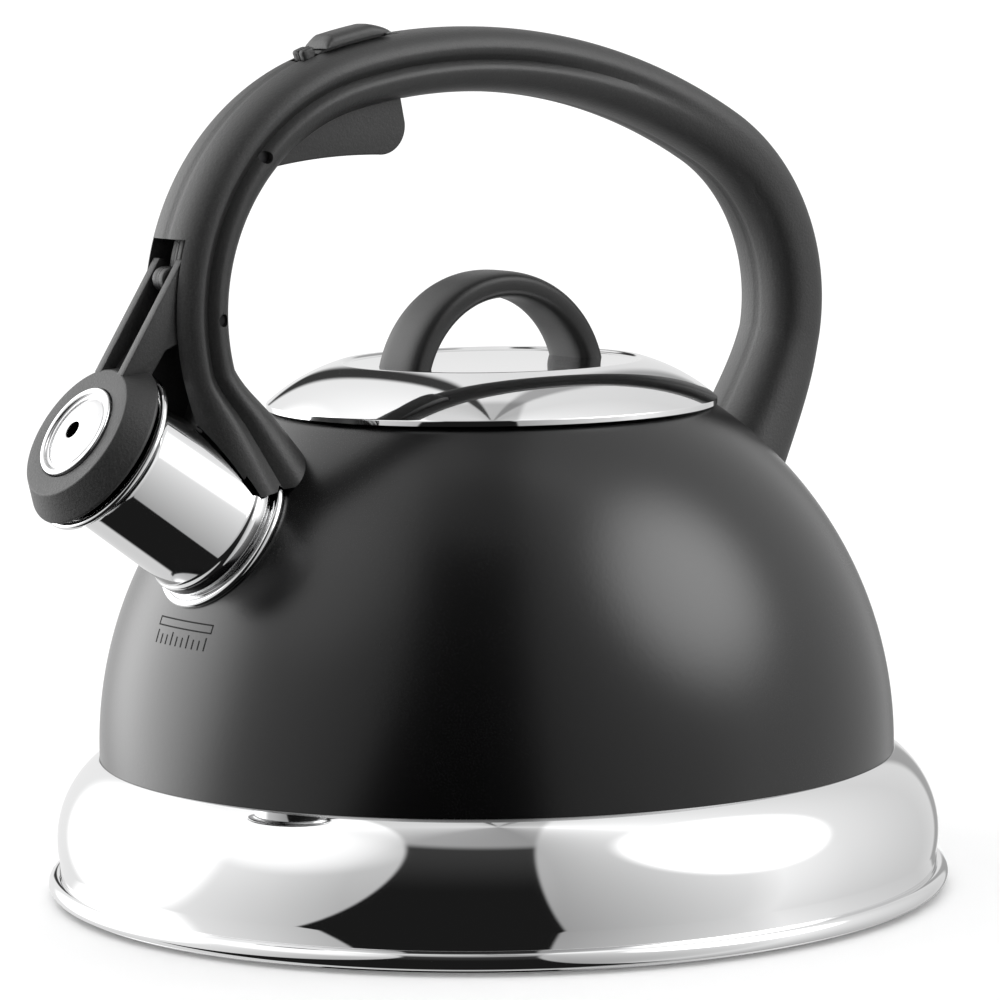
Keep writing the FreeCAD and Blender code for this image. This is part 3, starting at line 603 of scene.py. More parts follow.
def thing(name: str, points: Array, faces: Array | list, crease: float = CREASE_ANGLE) -> Thing:
    """An object from points in millimetres.

    Doubles are merged, so seams and poles close, and the faces are turned outwards.

    Args:
        name: the piece's name.
        points: n by 3.
        faces: index lists.
        crease: angle past which an edge stays sharp.
    Returns:
        The object, at the origin.
    """
    mesh = bpy.data.meshes.new(name)
    mesh.from_pydata((points.reshape(-1, 3) * MM).tolist(), [], [list(face) for face in faces])
    work = bmesh.new()
    work.from_mesh(mesh)
    bmesh.ops.remove_doubles(work, verts=work.verts, dist=MERGE)
    bmesh.ops.dissolve_degenerate(work, edges=work.edges, dist=MERGE)
    bmesh.ops.recalc_face_normals(work, faces=work.faces)
    work.to_mesh(mesh)
    work.free()
    mesh.shade_smooth()
    mesh.set_sharp_from_angle(angle=crease)
    made = bpy.data.objects.new(name, mesh)
    bpy.context.scene.collection.objects.link(made)
    return made


def quads(rows: int, columns: int, wrap_rows: bool, wrap_columns: bool) -> Array:
    """Corner indices of a grid's quads, with either direction closed on itself.

    Args:
        rows: size of the grid.
        columns: the same, the other way.
        wrap_rows: whether the last row joins the first.
        wrap_columns: whether the last column joins the first.
    Returns:
        Indices, n by 4.
    """
    i = np.arange(rows if wrap_rows else rows - 1)[:, None]
    j = np.arange(columns if wrap_columns else columns - 1)[None, :]
    i1, j1 = (i + 1) % rows, (j + 1) % columns
    corners = [i * columns + j, i1 * columns + j, i1 * columns + j1, i * columns + j1]
    return np.stack(corners, -1).reshape(-1, 4)


def ring(name: str, profile: Array, place: Place = Place(), segments: int = 256,
         open_ends: bool = False) -> Thing:
    """A turned piece.

    Args:
        name: the piece's name.
        profile: its closed section, or an open one that starts and ends on the axis.
        place: where its axis is.
        segments: turns.
        open_ends: whether the section is open.
    Returns:
        The object.
    """
    grid = place.carry(turned(profile, segments))
    return thing(name, grid, quads(len(profile), segments, not open_ends, True))


def tube(name: str, grid: Array, crease: float = CREASE_ANGLE) -> Thing:
    """A swept piece: closed round its second direction, with a flat face at each end of its first.

    Args:
        name: the piece's name.
        grid: sections, rows by columns by 3.
        crease: angle past which an edge stays sharp.
    Returns:
        The object.
    """
    rows, columns = grid.shape[:2]
    faces = [*quads(rows, columns, False, True).tolist(), list(range(columns)),
             list(range((rows - 1) * columns, rows * columns))]
    return thing(name, grid, faces, crease)


def plate(name: str, outline: Array, low: float, high: float, bevel: float = 0.0, steps: int = 2) -> Thing:
    """A flat plate of the plane Y = 0, thick from low to high, with its edges bevelled.

    Args:
        name: the piece's name.
        outline: points (x, z).
        low: its lower Y.
        high: its upper Y.
        bevel: width of the bevel, or 0 for none.
        steps: facets across the bevel.
    Returns:
        The object.
    """
    n = len(outline)
    sides = np.array([low, high])[:, None] + np.zeros((2, n))
    x, z = (np.broadcast_to(outline[:, index], (2, n)) for index in (0, 1))
    grid = np.stack([x, sides, z], 2)
    made = tube(name, grid)
    if bevel:
        soften(made, bevel, steps)
    return made


def rod(name: str, path: Array, radius: float, columns: int = 20) -> Thing:
    """A round rod along a path: p + radius (n cos v + b sin v), with n and b square to the path.

    Args:
        name: the piece's name.
        path: points of the centre line, n by 3.
        radius: its radius.
        columns: points round it.
    Returns:
        The object.
    """
    tangent = np.gradient(path, axis=0)
    tangent /= np.linalg.norm(tangent, axis=1)[:, None]
    side = np.cross(tangent, np.array([0.31, 0.17, 0.93]))
    side /= np.linalg.norm(side, axis=1)[:, None]
    other = np.cross(tangent, side)
    v = np.linspace(0.0, 2 * np.pi, columns, endpoint=False)[None, :, None]
    return tube(name, path[:, None] + radius * (side[:, None] * np.cos(v) + other[:, None] * np.sin(v)))


def soften(piece: Thing, width: float, steps: int = 2) -> Thing:
    """Rounds the sharp edges of a piece by a Bevel modifier, which is then applied.

    Args:
        piece: the piece.
        width: width of the bevel.
        steps: facets across it.
    Returns:
        The piece.
    """
    bevel = piece.modifiers.new("edge", "BEVEL")
    bevel.width, bevel.segments, bevel.limit_method = width * MM, steps, "ANGLE"
    bevel.angle_limit = math.radians(32.0)
    bevel.harden_normals = False
    return settle(piece)


def settle(piece: Thing, crease: float = CREASE_ANGLE) -> Thing:
    """Replaces a piece's mesh by what its modifiers make of it.

    Args:
        piece: the piece.
        crease: angle past which an edge stays sharp.
    Returns:
        The piece.
    """
    graph = bpy.context.evaluated_depsgraph_get()
    made = bpy.data.meshes.new_from_object(piece.evaluated_get(graph))
    made.name = piece.data.name
    piece.modifiers.clear()
    piece.data = made
    made.shade_smooth()
    made.set_sharp_from_angle(angle=crease)
    return piece


def carve(piece: Thing, cutters: list[Thing], operation: str = "DIFFERENCE",
          crease: float = CREASE_ANGLE) -> Thing:
    """Cuts pieces out of a piece, one after another.

    Args:
        piece: what is cut.
        cutters: closed objects, deleted afterwards.
        operation: DIFFERENCE, UNION or INTERSECT.
        crease: angle past which an edge stays sharp.
    Returns:
        The piece.
    """
    for cutter in cutters:
        cut = piece.modifiers.new("cut", "BOOLEAN")
        cut.object, cut.operation, cut.solver = cutter, operation, "EXACT"
        settle(piece, crease)
        bpy.data.objects.remove(cutter)
    return piece


def joined(name: str, parts: list[Thing]) -> Thing:
    """Several closed meshes as one piece.

    Args:
        name: the new piece's name.
        parts: the meshes, deleted afterwards.
    Returns:
        The new piece.
    """
    work = bmesh.new()
    for part in parts:
        work.from_mesh(part.data)
        bpy.data.objects.remove(part)
    mesh = bpy.data.meshes.new(name)
    work.to_mesh(mesh)
    work.free()
    mesh.shade_smooth()
    mesh.set_sharp_from_angle(angle=CREASE_ANGLE)
    made = bpy.data.objects.new(name, mesh)
    bpy.context.scene.collection.objects.link(made)
    return made


def dress(piece: Thing, finish: Finish) -> Thing:
    """Gives a piece one finish all over.

    Args:
        piece: the piece.
        finish: its finish.
    Returns:
        The piece.
    """
    piece.data.materials.clear()
    piece.data.materials.append(finish.material())
    return piece


def deliver(piece: Thing, body: str, finish: Finish, slot: Slot, *nodes: str) -> Thing:
    """Dresses a new piece, seats it on its body and hides the CAD nodes that it stands for.

    Args:
        piece: the piece.
        body: the moving body's name.
        finish: its finish.
        slot: the record's material slot; not used.
        nodes: names of the CAD nodes that it replaces.
    Returns:
        The piece.
    """
    dress(piece, finish)
    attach(piece, body)
    if nodes:
        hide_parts(*nodes)
    LOG.info("%s on %s: %d faces", piece.name, body, len(piece.data.polygons))
    return piece


def refinish(node: str, finish: Finish) -> None:
    """Gives a CAD node a better material through its object's own slots.

    Args:
        node: the CAD node's name.
        finish: its finish.
    """
    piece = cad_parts[node]
    if not piece.material_slots:
        piece.data.materials.append(None)
    for slot in piece.material_slots:
        slot.link = "OBJECT"
        slot.material = finish.material()
    LOG.info("%s keeps its shape, in %s", node, finish.name)


# ------------------------------------------------------------------ vessel

MOUTH_Z = 122.04
KETTLE = "kettle_body"


@dataclass
class Ellipse:
    """The dome's section, a quarter ellipse: r = a cos t, z = c + b sin t."""

    radius: float = 97.0
    rise: float = 98.3
    centre: float = 35.5

    def height(self, r: Array | float, inset: float = 0.0) -> Array | float:
        """Height at a distance from the axis: c + b sqrt(1 - (r/a)^2).

        Args:
            r: distance from the axis.
            inset: how far inside the outer surface.
        Returns:
            The height.
        """
        return self.centre + (self.rise - inset) * np.sqrt(1 - (r / (self.radius - inset)) ** 2)

    def reach(self, z: Array | float, inset: float = 0.0) -> Array | float:
        """Distance from the axis at a height: a sqrt(1 - ((z-c)/b)^2).

        Args:
            z: the height.
            inset: how far inside the outer surface.
        Returns:
            The distance.
        """
        return (self.radius - inset) * np.sqrt(1 - ((z - self.centre) / (self.rise - inset)) ** 2)

    def run(self, low: float, mouth: float, inset: float, steps: int = 96) -> Array:
        """Points from a height up to the mouth radius, in equal steps of t.

        Args:
            low: height of the first point.
            mouth: radius of the last point.
            inset: how far inside the outer surface.
            steps: number of points.
        Returns:
            Points (r, z).
        """
        start = math.asin((low - self.centre) / (self.rise - inset))
        end = math.acos(mouth / (self.radius - inset))
        t = np.linspace(start, end, steps)
        r = (self.radius - inset) * np.cos(t)
        z = self.centre + (self.rise - inset) * np.sin(t)
        return np.stack([r, z], 1)

    def block(self, name: str) -> Thing:
        """The whole dome as a solid, down to its widest place, for cutting what stands on it.

        Args:
            name: the piece's name.
        Returns:
            The object.
        """
        t = np.linspace(0.0, np.pi / 2, 80)
        side = np.stack([self.radius * np.cos(t), self.centre + self.rise * np.sin(t)], 1)
        return ring(name, np.concatenate([[[0.0, self.centre]], side]), open_ends=True)


DOME = Ellipse()
SPOUT_TURN = math.radians(55.5)
SPOUT = Place((-85.0, 0.0, 97.64), (math.cos(SPOUT_TURN), 0.0, math.sin(SPOUT_TURN)),
              (-math.sin(SPOUT_TURN), 0.0, math.cos(SPOUT_TURN)))


@dataclass
class Vessel:
    """The painted dome, its mouth collar, the polished flared band and the base under it."""

    crease: float = 33.4
    mouth: float = 46.0
    wall: float = 1.0
    band_wall: float = 1.2
    lip: float = 107.3
    foot: float = 9.0
    bead: float = 110.0
    bead_tube: float = 2.2
    bead_height: float = 3.15
    segments: int = 384

    def build(self) -> None:
        """Builds the vessel's pieces."""
        self.dome()
        self.band()
        self.collar()
        self.mark()
        for node, finish in (("base_pan", STEEL), ("base_cover", COVER), ("heat_spreader", ALUMINIUM)):
            refinish(node, finish)

    def dome(self) -> None:
        """The painted shell, with the spout's hole."""
        outer = DOME.run(self.crease, self.mouth, 0.0)
        inner = DOME.run(self.crease, self.mouth, self.wall)[::-1]
        shell = ring("dome", np.concatenate([outer, inner]), segments=self.segments)
        radius, low, high = 17.35, -19.0, 11.0
        hole = ring("hole", np.array([[0, low], [radius, low], [radius, high], [0, high]]), SPOUT, 128, True)
        carve(shell, [hole])
        deliver(shell, KETTLE, PAINT, Slot.PAINT, "dome_shell")

    def band(self) -> None:
        """The flared band: an arc from the crease to the foot, a short upright, and a rolled bead.
        """
        top = float(DOME.reach(self.crease))
        step = self.lip - top
        middle = np.array([top + step * 0.61, self.crease - (self.crease - self.foot) * 0.25])
        start, end = np.array([top, self.crease]), np.array([self.lip, self.foot])
        outer = arc(start, middle, end, 64)
        inner = outer + self._inward(outer) * self.band_wall
        centre = (self.bead - self.bead_tube, self.bead_height)
        join = math.degrees(math.acos((self.lip - centre[0]) / self.bead_tube))
        bead = circle(centre, self.bead_tube, join, join - 2 * join, 40)
        low = np.array([[self.lip, 0.35], [self.lip - self.band_wall, 0.35]])
        edge = eased(np.concatenate([outer, bead, low, inner[::-1]]), 0.25)
        deliver(ring("skirt", edge, segments=self.segments), KETTLE, CHROME, Slot.POLISHED, "skirt_band")

    @staticmethod
    def _inward(points: Array) -> Array:
        """Unit normals of a profile that runs down the outside, turned towards the axis.

        Args:
            points: the profile.
        Returns:
            Normals, n by 2.
        """
        run = np.gradient(points, axis=0)
        run /= np.linalg.norm(run, axis=1)[:, None]
        return np.stack([run[:, 1], -run[:, 0]], 1)

    def collar(self) -> None:
        """The mouth's sleeve with a rolled edge."""
        inner = self.mouth - self.wall
        bead = circle((inner + 0.7, MOUTH_Z + 0.8), 0.7, 260.0, -80.0, 30)
        sleeve = np.array([[self.mouth, MOUTH_Z - 9.0], [inner, MOUTH_Z - 9.0]])
        profile = np.concatenate([sleeve[1:], [[inner, MOUTH_Z + 0.5]], bead[8:], [[self.mouth, MOUTH_Z]],
                                  sleeve[:1]])
        deliver(ring("mouth_collar_rolled", profile, segments=192), KETTLE, CHROME, Slot.POLISHED,
                "mouth_collar")

    def mark(self) -> None:
        """The fill mark: an outlined level bar, and a row of plain ticks in place of any words."""
        bars = [(-13.6, 8.6, 72.95, 73.25), (-13.6, 8.6, 71.15, 71.45), (-13.6, -13.3, 71.15, 73.25),
                (8.3, 8.6, 71.15, 73.25)]
        ticks = [(y, y + 0.35, 67.2, 69.4 + 0.8 * (index % 3 == 0)) for index, y in
                 enumerate(np.linspace(-12.6, 7.6, 10))]
        parts = [self._patch(f"bar{index}", *bar) for index, bar in enumerate(bars + ticks)]
        deliver(joined("fill_mark", parts), KETTLE, INK, Slot.PAINT)

    @staticmethod
    def _patch(name: str, left: float, right: float, low: float, high: float, film: float = 0.07) -> Thing:
        """A thin film on the dome's spout side: r(z) + film at bearing y / r, closed by its back.

        Args:
            name: the piece's name.
            left: lower Y on the surface.
            right: upper Y on the surface.
            low: lower height.
            high: upper height.
            film: how far it stands off the paint.
        Returns:
            The object.
        """
        z = np.linspace(low, high, 5)[:, None] + np.zeros(13)
        y = np.linspace(left, right, 13)[None, :] + np.zeros((5, 1))
        r = DOME.reach(z)
        turn = y / r
        front_side, back_side = (np.stack([-(r + lift) * np.cos(turn), (r + lift) * np.sin(turn), z], 2)
                                 for lift in (film, -0.05))
        grid = np.concatenate([front_side, back_side[::-1]])
        return thing(name, np.concatenate([grid, grid[:1]]), _sheet_faces(grid.shape[0], 13))


def _sheet_faces(rows: int, columns: int) -> list:
    """Faces of a thin closed sheet whose grid goes up its front and down its back.

    Args:
        rows: rows of the grid, front and back together.
        columns: its columns.
    Returns:
        Index lists.
    """
    half = rows // 2
    sides = [[row * columns + j for row in (i, i + 1, rows - 2 - i, rows - 1 - i)]
             for j in (0, columns - 1) for i in range(half - 1)]
    return [*quads(rows, columns, True, False).tolist(), *sides]


# ------------------------------------------------------------------ spout

@dataclass
class Spout:
    """The polished tube with its step and rolled lip, and the bright ring round its root."""

    base: float = 17.4
    end: float = 16.6
    low: float = -13.0
    wall: float = 1.0
    lip: float = 20.7
    lip_place: float = 28.9
    tube: float = 0.9
    step: float = 0.8
    flange: float = 19.0
    flange_tube: float = 1.1
    flange_place: float = -9.0

    def build(self) -> None:
        """Builds the tube and the ring."""
        low, high = self.flange_place + 1.6, self.flange_place + 5.2
        flare = self.lip_place - 4.6
        lip_r = self.lip - self.tube
        outer = line((self.base, self.low), (self.base, low), (self.base + self.step, low + self.step),
                     (self.base + self.step, high), (self.base, high + self.step), (self.end, flare),
                     ((self.end + 1.1, self.lip_place - 1.6), (lip_r - 0.3, self.lip_place - self.tube)))
        rolled = circle((lip_r, self.lip_place), self.tube, -100.0, 150.0, 36)
        inner = line((lip_r - 0.85, self.lip_place + 0.25),
                     ((self.end + 0.3, self.lip_place - 1.1), (self.end - self.wall, flare)),
                     (self.base - self.wall, self.low))
        profile = eased(np.concatenate([outer, rolled, inner]), 0.45)
        deliver(ring("spout", profile, SPOUT, 224), KETTLE, CHROME, Slot.POLISHED, "spout_tube")
        place, tube = self.flange_place, self.flange_tube
        bead = circle((self.flange, place), tube, -90.0, 160.0, 40)
        web = np.array([[self.base + 0.02, place + tube * 0.55], [self.base + 0.02, place - tube]])
        collar = ring("spout_ring", np.concatenate([bead, web]), SPOUT, 224)
        carve(collar, [DOME.block("dome_block")])
        deliver(collar, KETTLE, CHROME, Slot.POLISHED, "spout_flange")


# ------------------------------------------------------------------ lid

@dataclass
class Lid:
    """The polished lid, its locating ring and the arched knob on its plateau."""

    rim: float = 54.8
    wall: float = 1.0
    gap: float = 0.4
    lip: float = 1.2
    rise: float = 9.8
    edge: float = 37.1
    recess: float = 0.7
    body: str = "lid"
    low: float = field(init=False)
    floor: float = field(init=False)

    def __post_init__(self) -> None:
        """Heights that follow from the dome."""
        self.low = float(DOME.height(self.rim - self.wall)) + self.gap
        self.floor = self.low + self.lip + self.rise - self.recess

    def build(self) -> None:
        """Builds the lid's pieces."""
        self.shell()
        self.locating_ring()
        self.knob()
        refinish("knob_screws", STEEL)

    def shell(self) -> None:
        """A convex shell with an upright rim and a shallow recessed plateau."""
        high, top = self.low + self.lip, self.low + self.lip + self.rise
        middle = ((self.rim + self.edge) / 2 + 0.25, (high + top) / 2 + 1.15)
        crown = arc(np.array([self.rim, high]), np.array(middle), np.array([self.edge, top]), 56)
        inner = crown + Vessel._inward(crown[::-1])[::-1] * self.wall
        inner = inner[inner[:, 0] < self.rim - self.wall]
        outer = eased(np.concatenate([[[self.rim, self.low]], crown, [[self.edge - 0.8, top],
                      [self.edge - 2.0, self.floor], [0.0, self.floor]]]), 0.5, closed=False)
        under = np.concatenate([[[0.0, self.floor - self.wall], [self.edge - 3.0, self.floor - self.wall]],
                                inner[::-1], [[self.rim - self.wall, self.low + 0.3]]])
        profile = np.concatenate([under, [[self.rim - 0.5, self.low - 0.05]], outer])
        deliver(ring("lid_polished", profile, segments=320, open_ends=True), self.body, CHROME,
                Slot.POLISHED, "lid_shell")

    def locating_ring(self) -> None:
        """The plain ring that centres the lid in the mouth."""
        outer = 44.4
        top = 125.1
        profile = eased(np.array([[outer, MOUTH_Z - 9.0], [outer, top], [outer - 1.0, top],
                                  [outer - 1.0, MOUTH_Z - 9.0]]), 0.2)
        deliver(ring("lid_ring", profile, segments=192), self.body, STEEL, Slot.PAN, "lid_locating_ring")

    def knob(self) -> None:
        """The arch: a rounded band of 17 by 6.6 mm carried round a half circle that sinks into the plateau.

        A section point at radius q sweeps from asin(drop / q) to its mirror image, so both feet are flat.
        """
        drop, outer, thick, width = 7.2, 29.5, 6.6, 17.0
        section = rounded_band(thick / 2, width / 2, 3.4, 48)
        q = outer - thick / 2 + section[:, 0]
        start = np.arcsin(drop / q)
        share = np.linspace(0.0, 1.0, 97)[:, None]
        turn = start + share * (np.pi - 2 * start)
        grid = np.stack([q * np.cos(turn), section[:, 1] + 0.0 * turn,
                         self.floor - drop + q * np.sin(turn)], 2)
        deliver(tube("knob_arch", grid), self.body, SMOOTH_NYLON, Slot.PLASTIC, "lid_knob")


def rounded_band(half_u: float, half_y: float, power: float, count: int) -> Array:
    """A superellipse section: (u, y) = (a |cos t|^(2/p) sign, b |sin t|^(2/p) sign).

    Args:
        half_u: half size along u.
        half_y: half size along y.
        power: p, which squares the corners as it grows.
        count: number of points.
    Returns:
        Points (u, y), count by 2.
    """
    t = np.linspace(0.0, 2 * np.pi, count, endpoint=False)
    u, y = (np.sign(wave) * np.abs(wave) ** (2.0 / power) for wave in (np.cos(t), np.sin(t)))
    return np.stack([half_u * u, half_y * y], 1)


# ------------------------------------------------------------------ handle

FRONT_BEND = (-30.5, 143.44)
REAR_BEND = (42.4, 139.74)
TOP_BEND = (-9.129, 53.349)
TOP_RADIUS = 148.09
LEVER_PIVOT = (-82.5, 143.24)
TRIGGER_PIVOT = (-70.0, 180.34)
HUB_RADIUS = 3.1
PIN_HOLE = 1.5


def front(across: float, up: float) -> tuple[float, float]:
    """A place on the spout side: across is from the dome's widest radius, up is from the mouth.

    Args:
        across: distance from the widest radius.
        up: height above the mouth.
    Returns:
        The place (x, z).
    """
    return across - DOME.radius, MOUTH_Z + up


def rear(across: float, up: float) -> tuple[float, float]:
    """The same on the far side.

    Args:
        across: distance from the widest radius.
        up: height above the mouth.
    Returns:
        The place (x, z).
    """
    return DOME.radius + across, MOUTH_Z + up


def spots(*places: tuple[float, float]) -> Array:
    """Places as an array, n by 2.

    Args:
        places: places (x, z).
    Returns:
        The array.
    """
    return np.array(places, float)


@dataclass
class Handle:
    """The loop handle: two hollow halves of grained nylon that close over tabs on the dome."""

    thick: float = 15.6
    width: float = 23.0
    front_radius: float = 55.5
    rear_radius: float = 47.5
    wall: float = 2.2
    room_half: float = 7.1
    pin_reach: float = 20.0
    seat_radius: float = 3.2
    seat_low: float = 7.5
    seat_high: float = 27.5
    columns: int = 96

    def build(self) -> None:
        """Builds both halves and dresses the screws and pins that show at them."""
        whole = self.blank()
        carve(whole, self.cutters(), crease=HANDLE_CREASE)
        reach = 300.0
        for name, side in (("handle_left", -1.0), ("handle_right", 1.0)):
            half = whole.copy()
            half.data = whole.data.copy()
            half.name = half.data.name = name
            bpy.context.scene.collection.objects.link(half)
            away = plate("away", spots((-reach, -reach), (reach, -reach), (reach, reach), (-reach, reach)),
                         *sorted((-0.02 * side, -side * reach)))
            carve(half, [away], crease=HANDLE_CREASE)
            deliver(half, KETTLE, NYLON, Slot.PLASTIC, name + "_half")
        bpy.data.objects.remove(whole)
        for node, finish in (("handle_screws", STEEL), ("lever_pin", DARK_STEEL),
                             ("trigger_pin", DARK_STEEL), ("front_bracket", STEEL), ("rear_bracket", STEEL)):
            refinish(node, finish)

    def stations(self) -> tuple[Array, Array, Array, Array]:
        """The loop's inner and outer points, half widths and ridge strength, from rear foot to front foot.

        Feet follow a Catmull-Rom curve through their sections; the three bends are arcs.
        """
        inner, outer = self._bends(self.thick / 2, (-12.0, 194.0), (70, 80, 96))
        width = np.full(len(inner), self.width / 2)
        feet_r = ((rear(-23.6, -6.0), rear(-5.1, -8.5), 12.6),
                  (rear(-35.0, -22.0), rear(-19.0, -38.0), 15.0))
        feet_f = ((front(31.2, -3.0), front(8.2, -4.5), 13.6),
                  (front(41.5, -16.0), front(12.5, -21.0), 17.4))
        rear_i, rear_o, rear_w = self._foot(inner[:2][::-1], outer[:2][::-1], feet_r)
        front_i, front_o, front_w = self._foot(inner[-2:], outer[-2:], feet_f)
        inner = np.concatenate([rear_i[::-1], inner, front_i])
        outer = np.concatenate([rear_o[::-1], outer, front_o])
        width = np.concatenate([rear_w[::-1], width, front_w])
        run = np.cumsum(np.r_[0.0, np.linalg.norm(np.diff((inner + outer) / 2, axis=0), axis=1)])
        share = run / run[-1]
        ridge = np.clip((share - 0.30) / 0.22, 0.0, 1.0)
        return inner, outer, width, ridge * ridge * (3 - 2 * ridge)

    def _bends(self, half: float, ends: tuple[float, float],
               counts: tuple[int, int, int]) -> tuple[Array, Array]:
        """Two lines along the rear, top and front bends, on either side of their centre line.

        Args:
            half: distance of the lines from the centre line.
            ends: directions, in degrees, at which the rear bend starts and the front bend ends.
            counts: points in each bend.
        Returns:
            The inner and the outer line.
        """
        start, end = ends
        join_r, join_f = (math.degrees(math.atan2(bend[1] - TOP_BEND[1], bend[0] - TOP_BEND[0]))
                          for bend in (REAR_BEND, FRONT_BEND))
        bends = ((REAR_BEND, self.rear_radius, start, join_r), (TOP_BEND, TOP_RADIUS, join_r, join_f),
                 (FRONT_BEND, self.front_radius, join_f, end))
        inner, outer = (np.concatenate([circle(centre, radius + offset, low, high, count)[1:]
                                        for (centre, radius, low, high), count in zip(bends, counts)])
                        for offset in (-half, half))
        return inner, outer

    def _foot(self, inner: Array, outer: Array, sections: tuple) -> tuple[Array, Array, Array]:
        """Foot stations past the loop's last two, by Catmull-Rom through the end and the given sections.

        Args:
            inner: the inner line's last two points.
            outer: the outer line's last two points.
            sections: (inner, outer, half width) of two sections.
        Returns:
            Inner points, outer points and half widths.
        """
        t = np.linspace(0.0, 1.0, 26)[1:, None]
        runs = []
        for index, last in ((0, inner), (1, outer)):
            p1 = last[-1]
            p2, p3 = (np.array(section[index]) for section in sections)
            way = last[-1] - last[-2]
            p0 = p1 - way / np.linalg.norm(way) * np.linalg.norm(p2 - p1)
            p4 = p3 + (p3 - p2)
            runs.append(np.concatenate([spline(p0, p1, p2, p3, t), spline(p1, p2, p3, p4, t)]))
        w = np.array([self.width / 2, self.width / 2, sections[0][2], sections[1][2],
                      2 * sections[1][2] - sections[0][2]])
        width = np.concatenate([spline(*w[0:4], t), spline(*w[1:5], t)])[:, 0]
        return runs[0], runs[1], width

    def blank(self) -> Thing:
        """The solid loop.

        A section point at angle t has offset cos(t) and half width sin(t), both raised to 2/2.6; the ridge
        adds a low swelling near the inside edge and a valley beside it; a fine groove marks the parting.
        """
        inner, outer, width, ridge = self.stations()
        t = np.linspace(0.0, 2 * np.pi, self.columns, endpoint=False)
        t = t - 0.08 * np.sin(2 * t)
        power = 2.0 / 2.6
        u = np.sign(np.cos(t)) * np.abs(np.cos(t)) ** power
        y = np.sign(np.sin(t)) * np.abs(np.sin(t)) ** power
        valley_at, valley_width, valley_depth = 0.02, 0.17, 2.1
        swell_at, swell_width, swell_height = -0.52, 0.26, 0.35
        valley = np.exp(-((u - valley_at) / valley_width) ** 2) * np.abs(y) ** 3
        swell = np.exp(-((u - swell_at) / swell_width) ** 2) * np.abs(y) ** 3
        inwards = valley_depth * valley - swell_height * swell
        side = y[None, :] * (width[:, None] - ridge[:, None] * inwards[None, :])
        groove_depth, groove_width = 0.28, 0.42
        parting = groove_depth * np.exp(-(side / groove_width) ** 2) * np.sign(u)
        mid, arm = (inner + outer) / 2, (outer - inner) / 2
        depth = np.linalg.norm(arm, axis=1)[:, None]
        offset = u[None, :] - parting / depth
        grid = np.stack([mid[:, :1] + arm[:, :1] * offset, side, mid[:, 1:] + arm[:, 1:] * offset], 2)
        return tube("handle_blank", grid)

    def cavity(self) -> Thing:
        """The hollow that the pull link runs in."""
        inner, outer = self._bends(self.thick / 2 - self.wall, (-6.0, 188.0), (40, 50, 60))
        section = rounded_band(1.0, self.room_half, 8.0, 32)
        mid, arm = (inner + outer) / 2, (outer - inner) / 2
        u = section[None, :, 0]
        grid = np.stack([mid[:, :1] + arm[:, :1] * u, section[None, :, 1] + 0.0 * mid[:, :1],
                         mid[:, 1:] + arm[:, 1:] * u], 2)
        return tube("cavity", grid)

    def cutters(self) -> list[Thing]:
        """Everything that is cut from the blank: the dome, the cavity, three slots, holes and the spout."""
        return [
            DOME.block("dome_block"),
            self.cavity(),
            plate("lever_slot", spots(front(-6, 40), front(9, 40), front(17, 26), front(17, 5),
                                      front(13.5, -4), front(-6, -4)), -self.room_half, self.room_half),
            across_bar("hub_room", LEVER_PIVOT, 3.5, -self.room_half, self.room_half),
            plate("trigger_slot", spots(front(29, 44), front(70.5, 64), front(70.5, 74), front(52, 72.5),
                                        front(29, 58.5)), -5.6, 5.6),
            plate("thumb_slot", spots(front(42.6, 77), front(69.8, 80), front(69.8, 92), front(42.6, 92)),
                  -3.3, 3.3),
            *(across_bar("pin_hole", spot, PIN_HOLE, -self.pin_reach, self.pin_reach)
              for spot in (LEVER_PIVOT, TRIGGER_PIVOT)),
            *(across_bar("screw_seat", spot, self.seat_radius, self.seat_low, self.seat_high)
              for spot in (front(28.1, -5.2), (73.0, 104.9))),
            ring("spout_room", spots((0, -13.0), (20.4, -13.0), (20.4, -7.6), (18.5, -7.6), (18.5, 1.0),
                                     (17.65, 1.0), (17.65, 47.0), (0, 47.0)), SPOUT, 160, True),
        ]


def spline(p0: Array, p1: Array, p2: Array, p3: Array, t: Array) -> Array:
    """Catmull-Rom curve from p1 to p2.

    Args:
        p0: the point before.
        p1: where it starts.
        p2: where it ends.
        p3: the point after.
        t: shares of the way, 0 to 1.
    Returns:
        Points, one for each t.
    """
    return 0.5 * (2 * p1 + (p2 - p0) * t + (2 * p0 - 5 * p1 + 4 * p2 - p3) * t ** 2
                  + (3 * p1 - p0 - 3 * p2 + p3) * t ** 3)


def across_bar(name: str, spot: tuple[float, float], radius: float, low: float, high: float,
               columns: int = 40) -> Thing:
    """A round bar along Y, centred on a place (x, z).

    Args:
        name: the piece's name.
        spot: its centre (x, z).
        radius: its radius.
        low: its lower Y.
        high: its upper Y.
        columns: points round it.
    Returns:
        The object.
    """
    v = np.linspace(0.0, 2 * np.pi, columns, endpoint=False)
    y = np.array([low, high])[:, None] + 0.0 * v
    grid = np.stack([spot[0] + radius * np.cos(v) + 0.0 * y, y, spot[1] + radius * np.sin(v) + 0.0 * y], 2)
    return tube(name, grid)


# ------------------------------------------------------------------ whistle cap

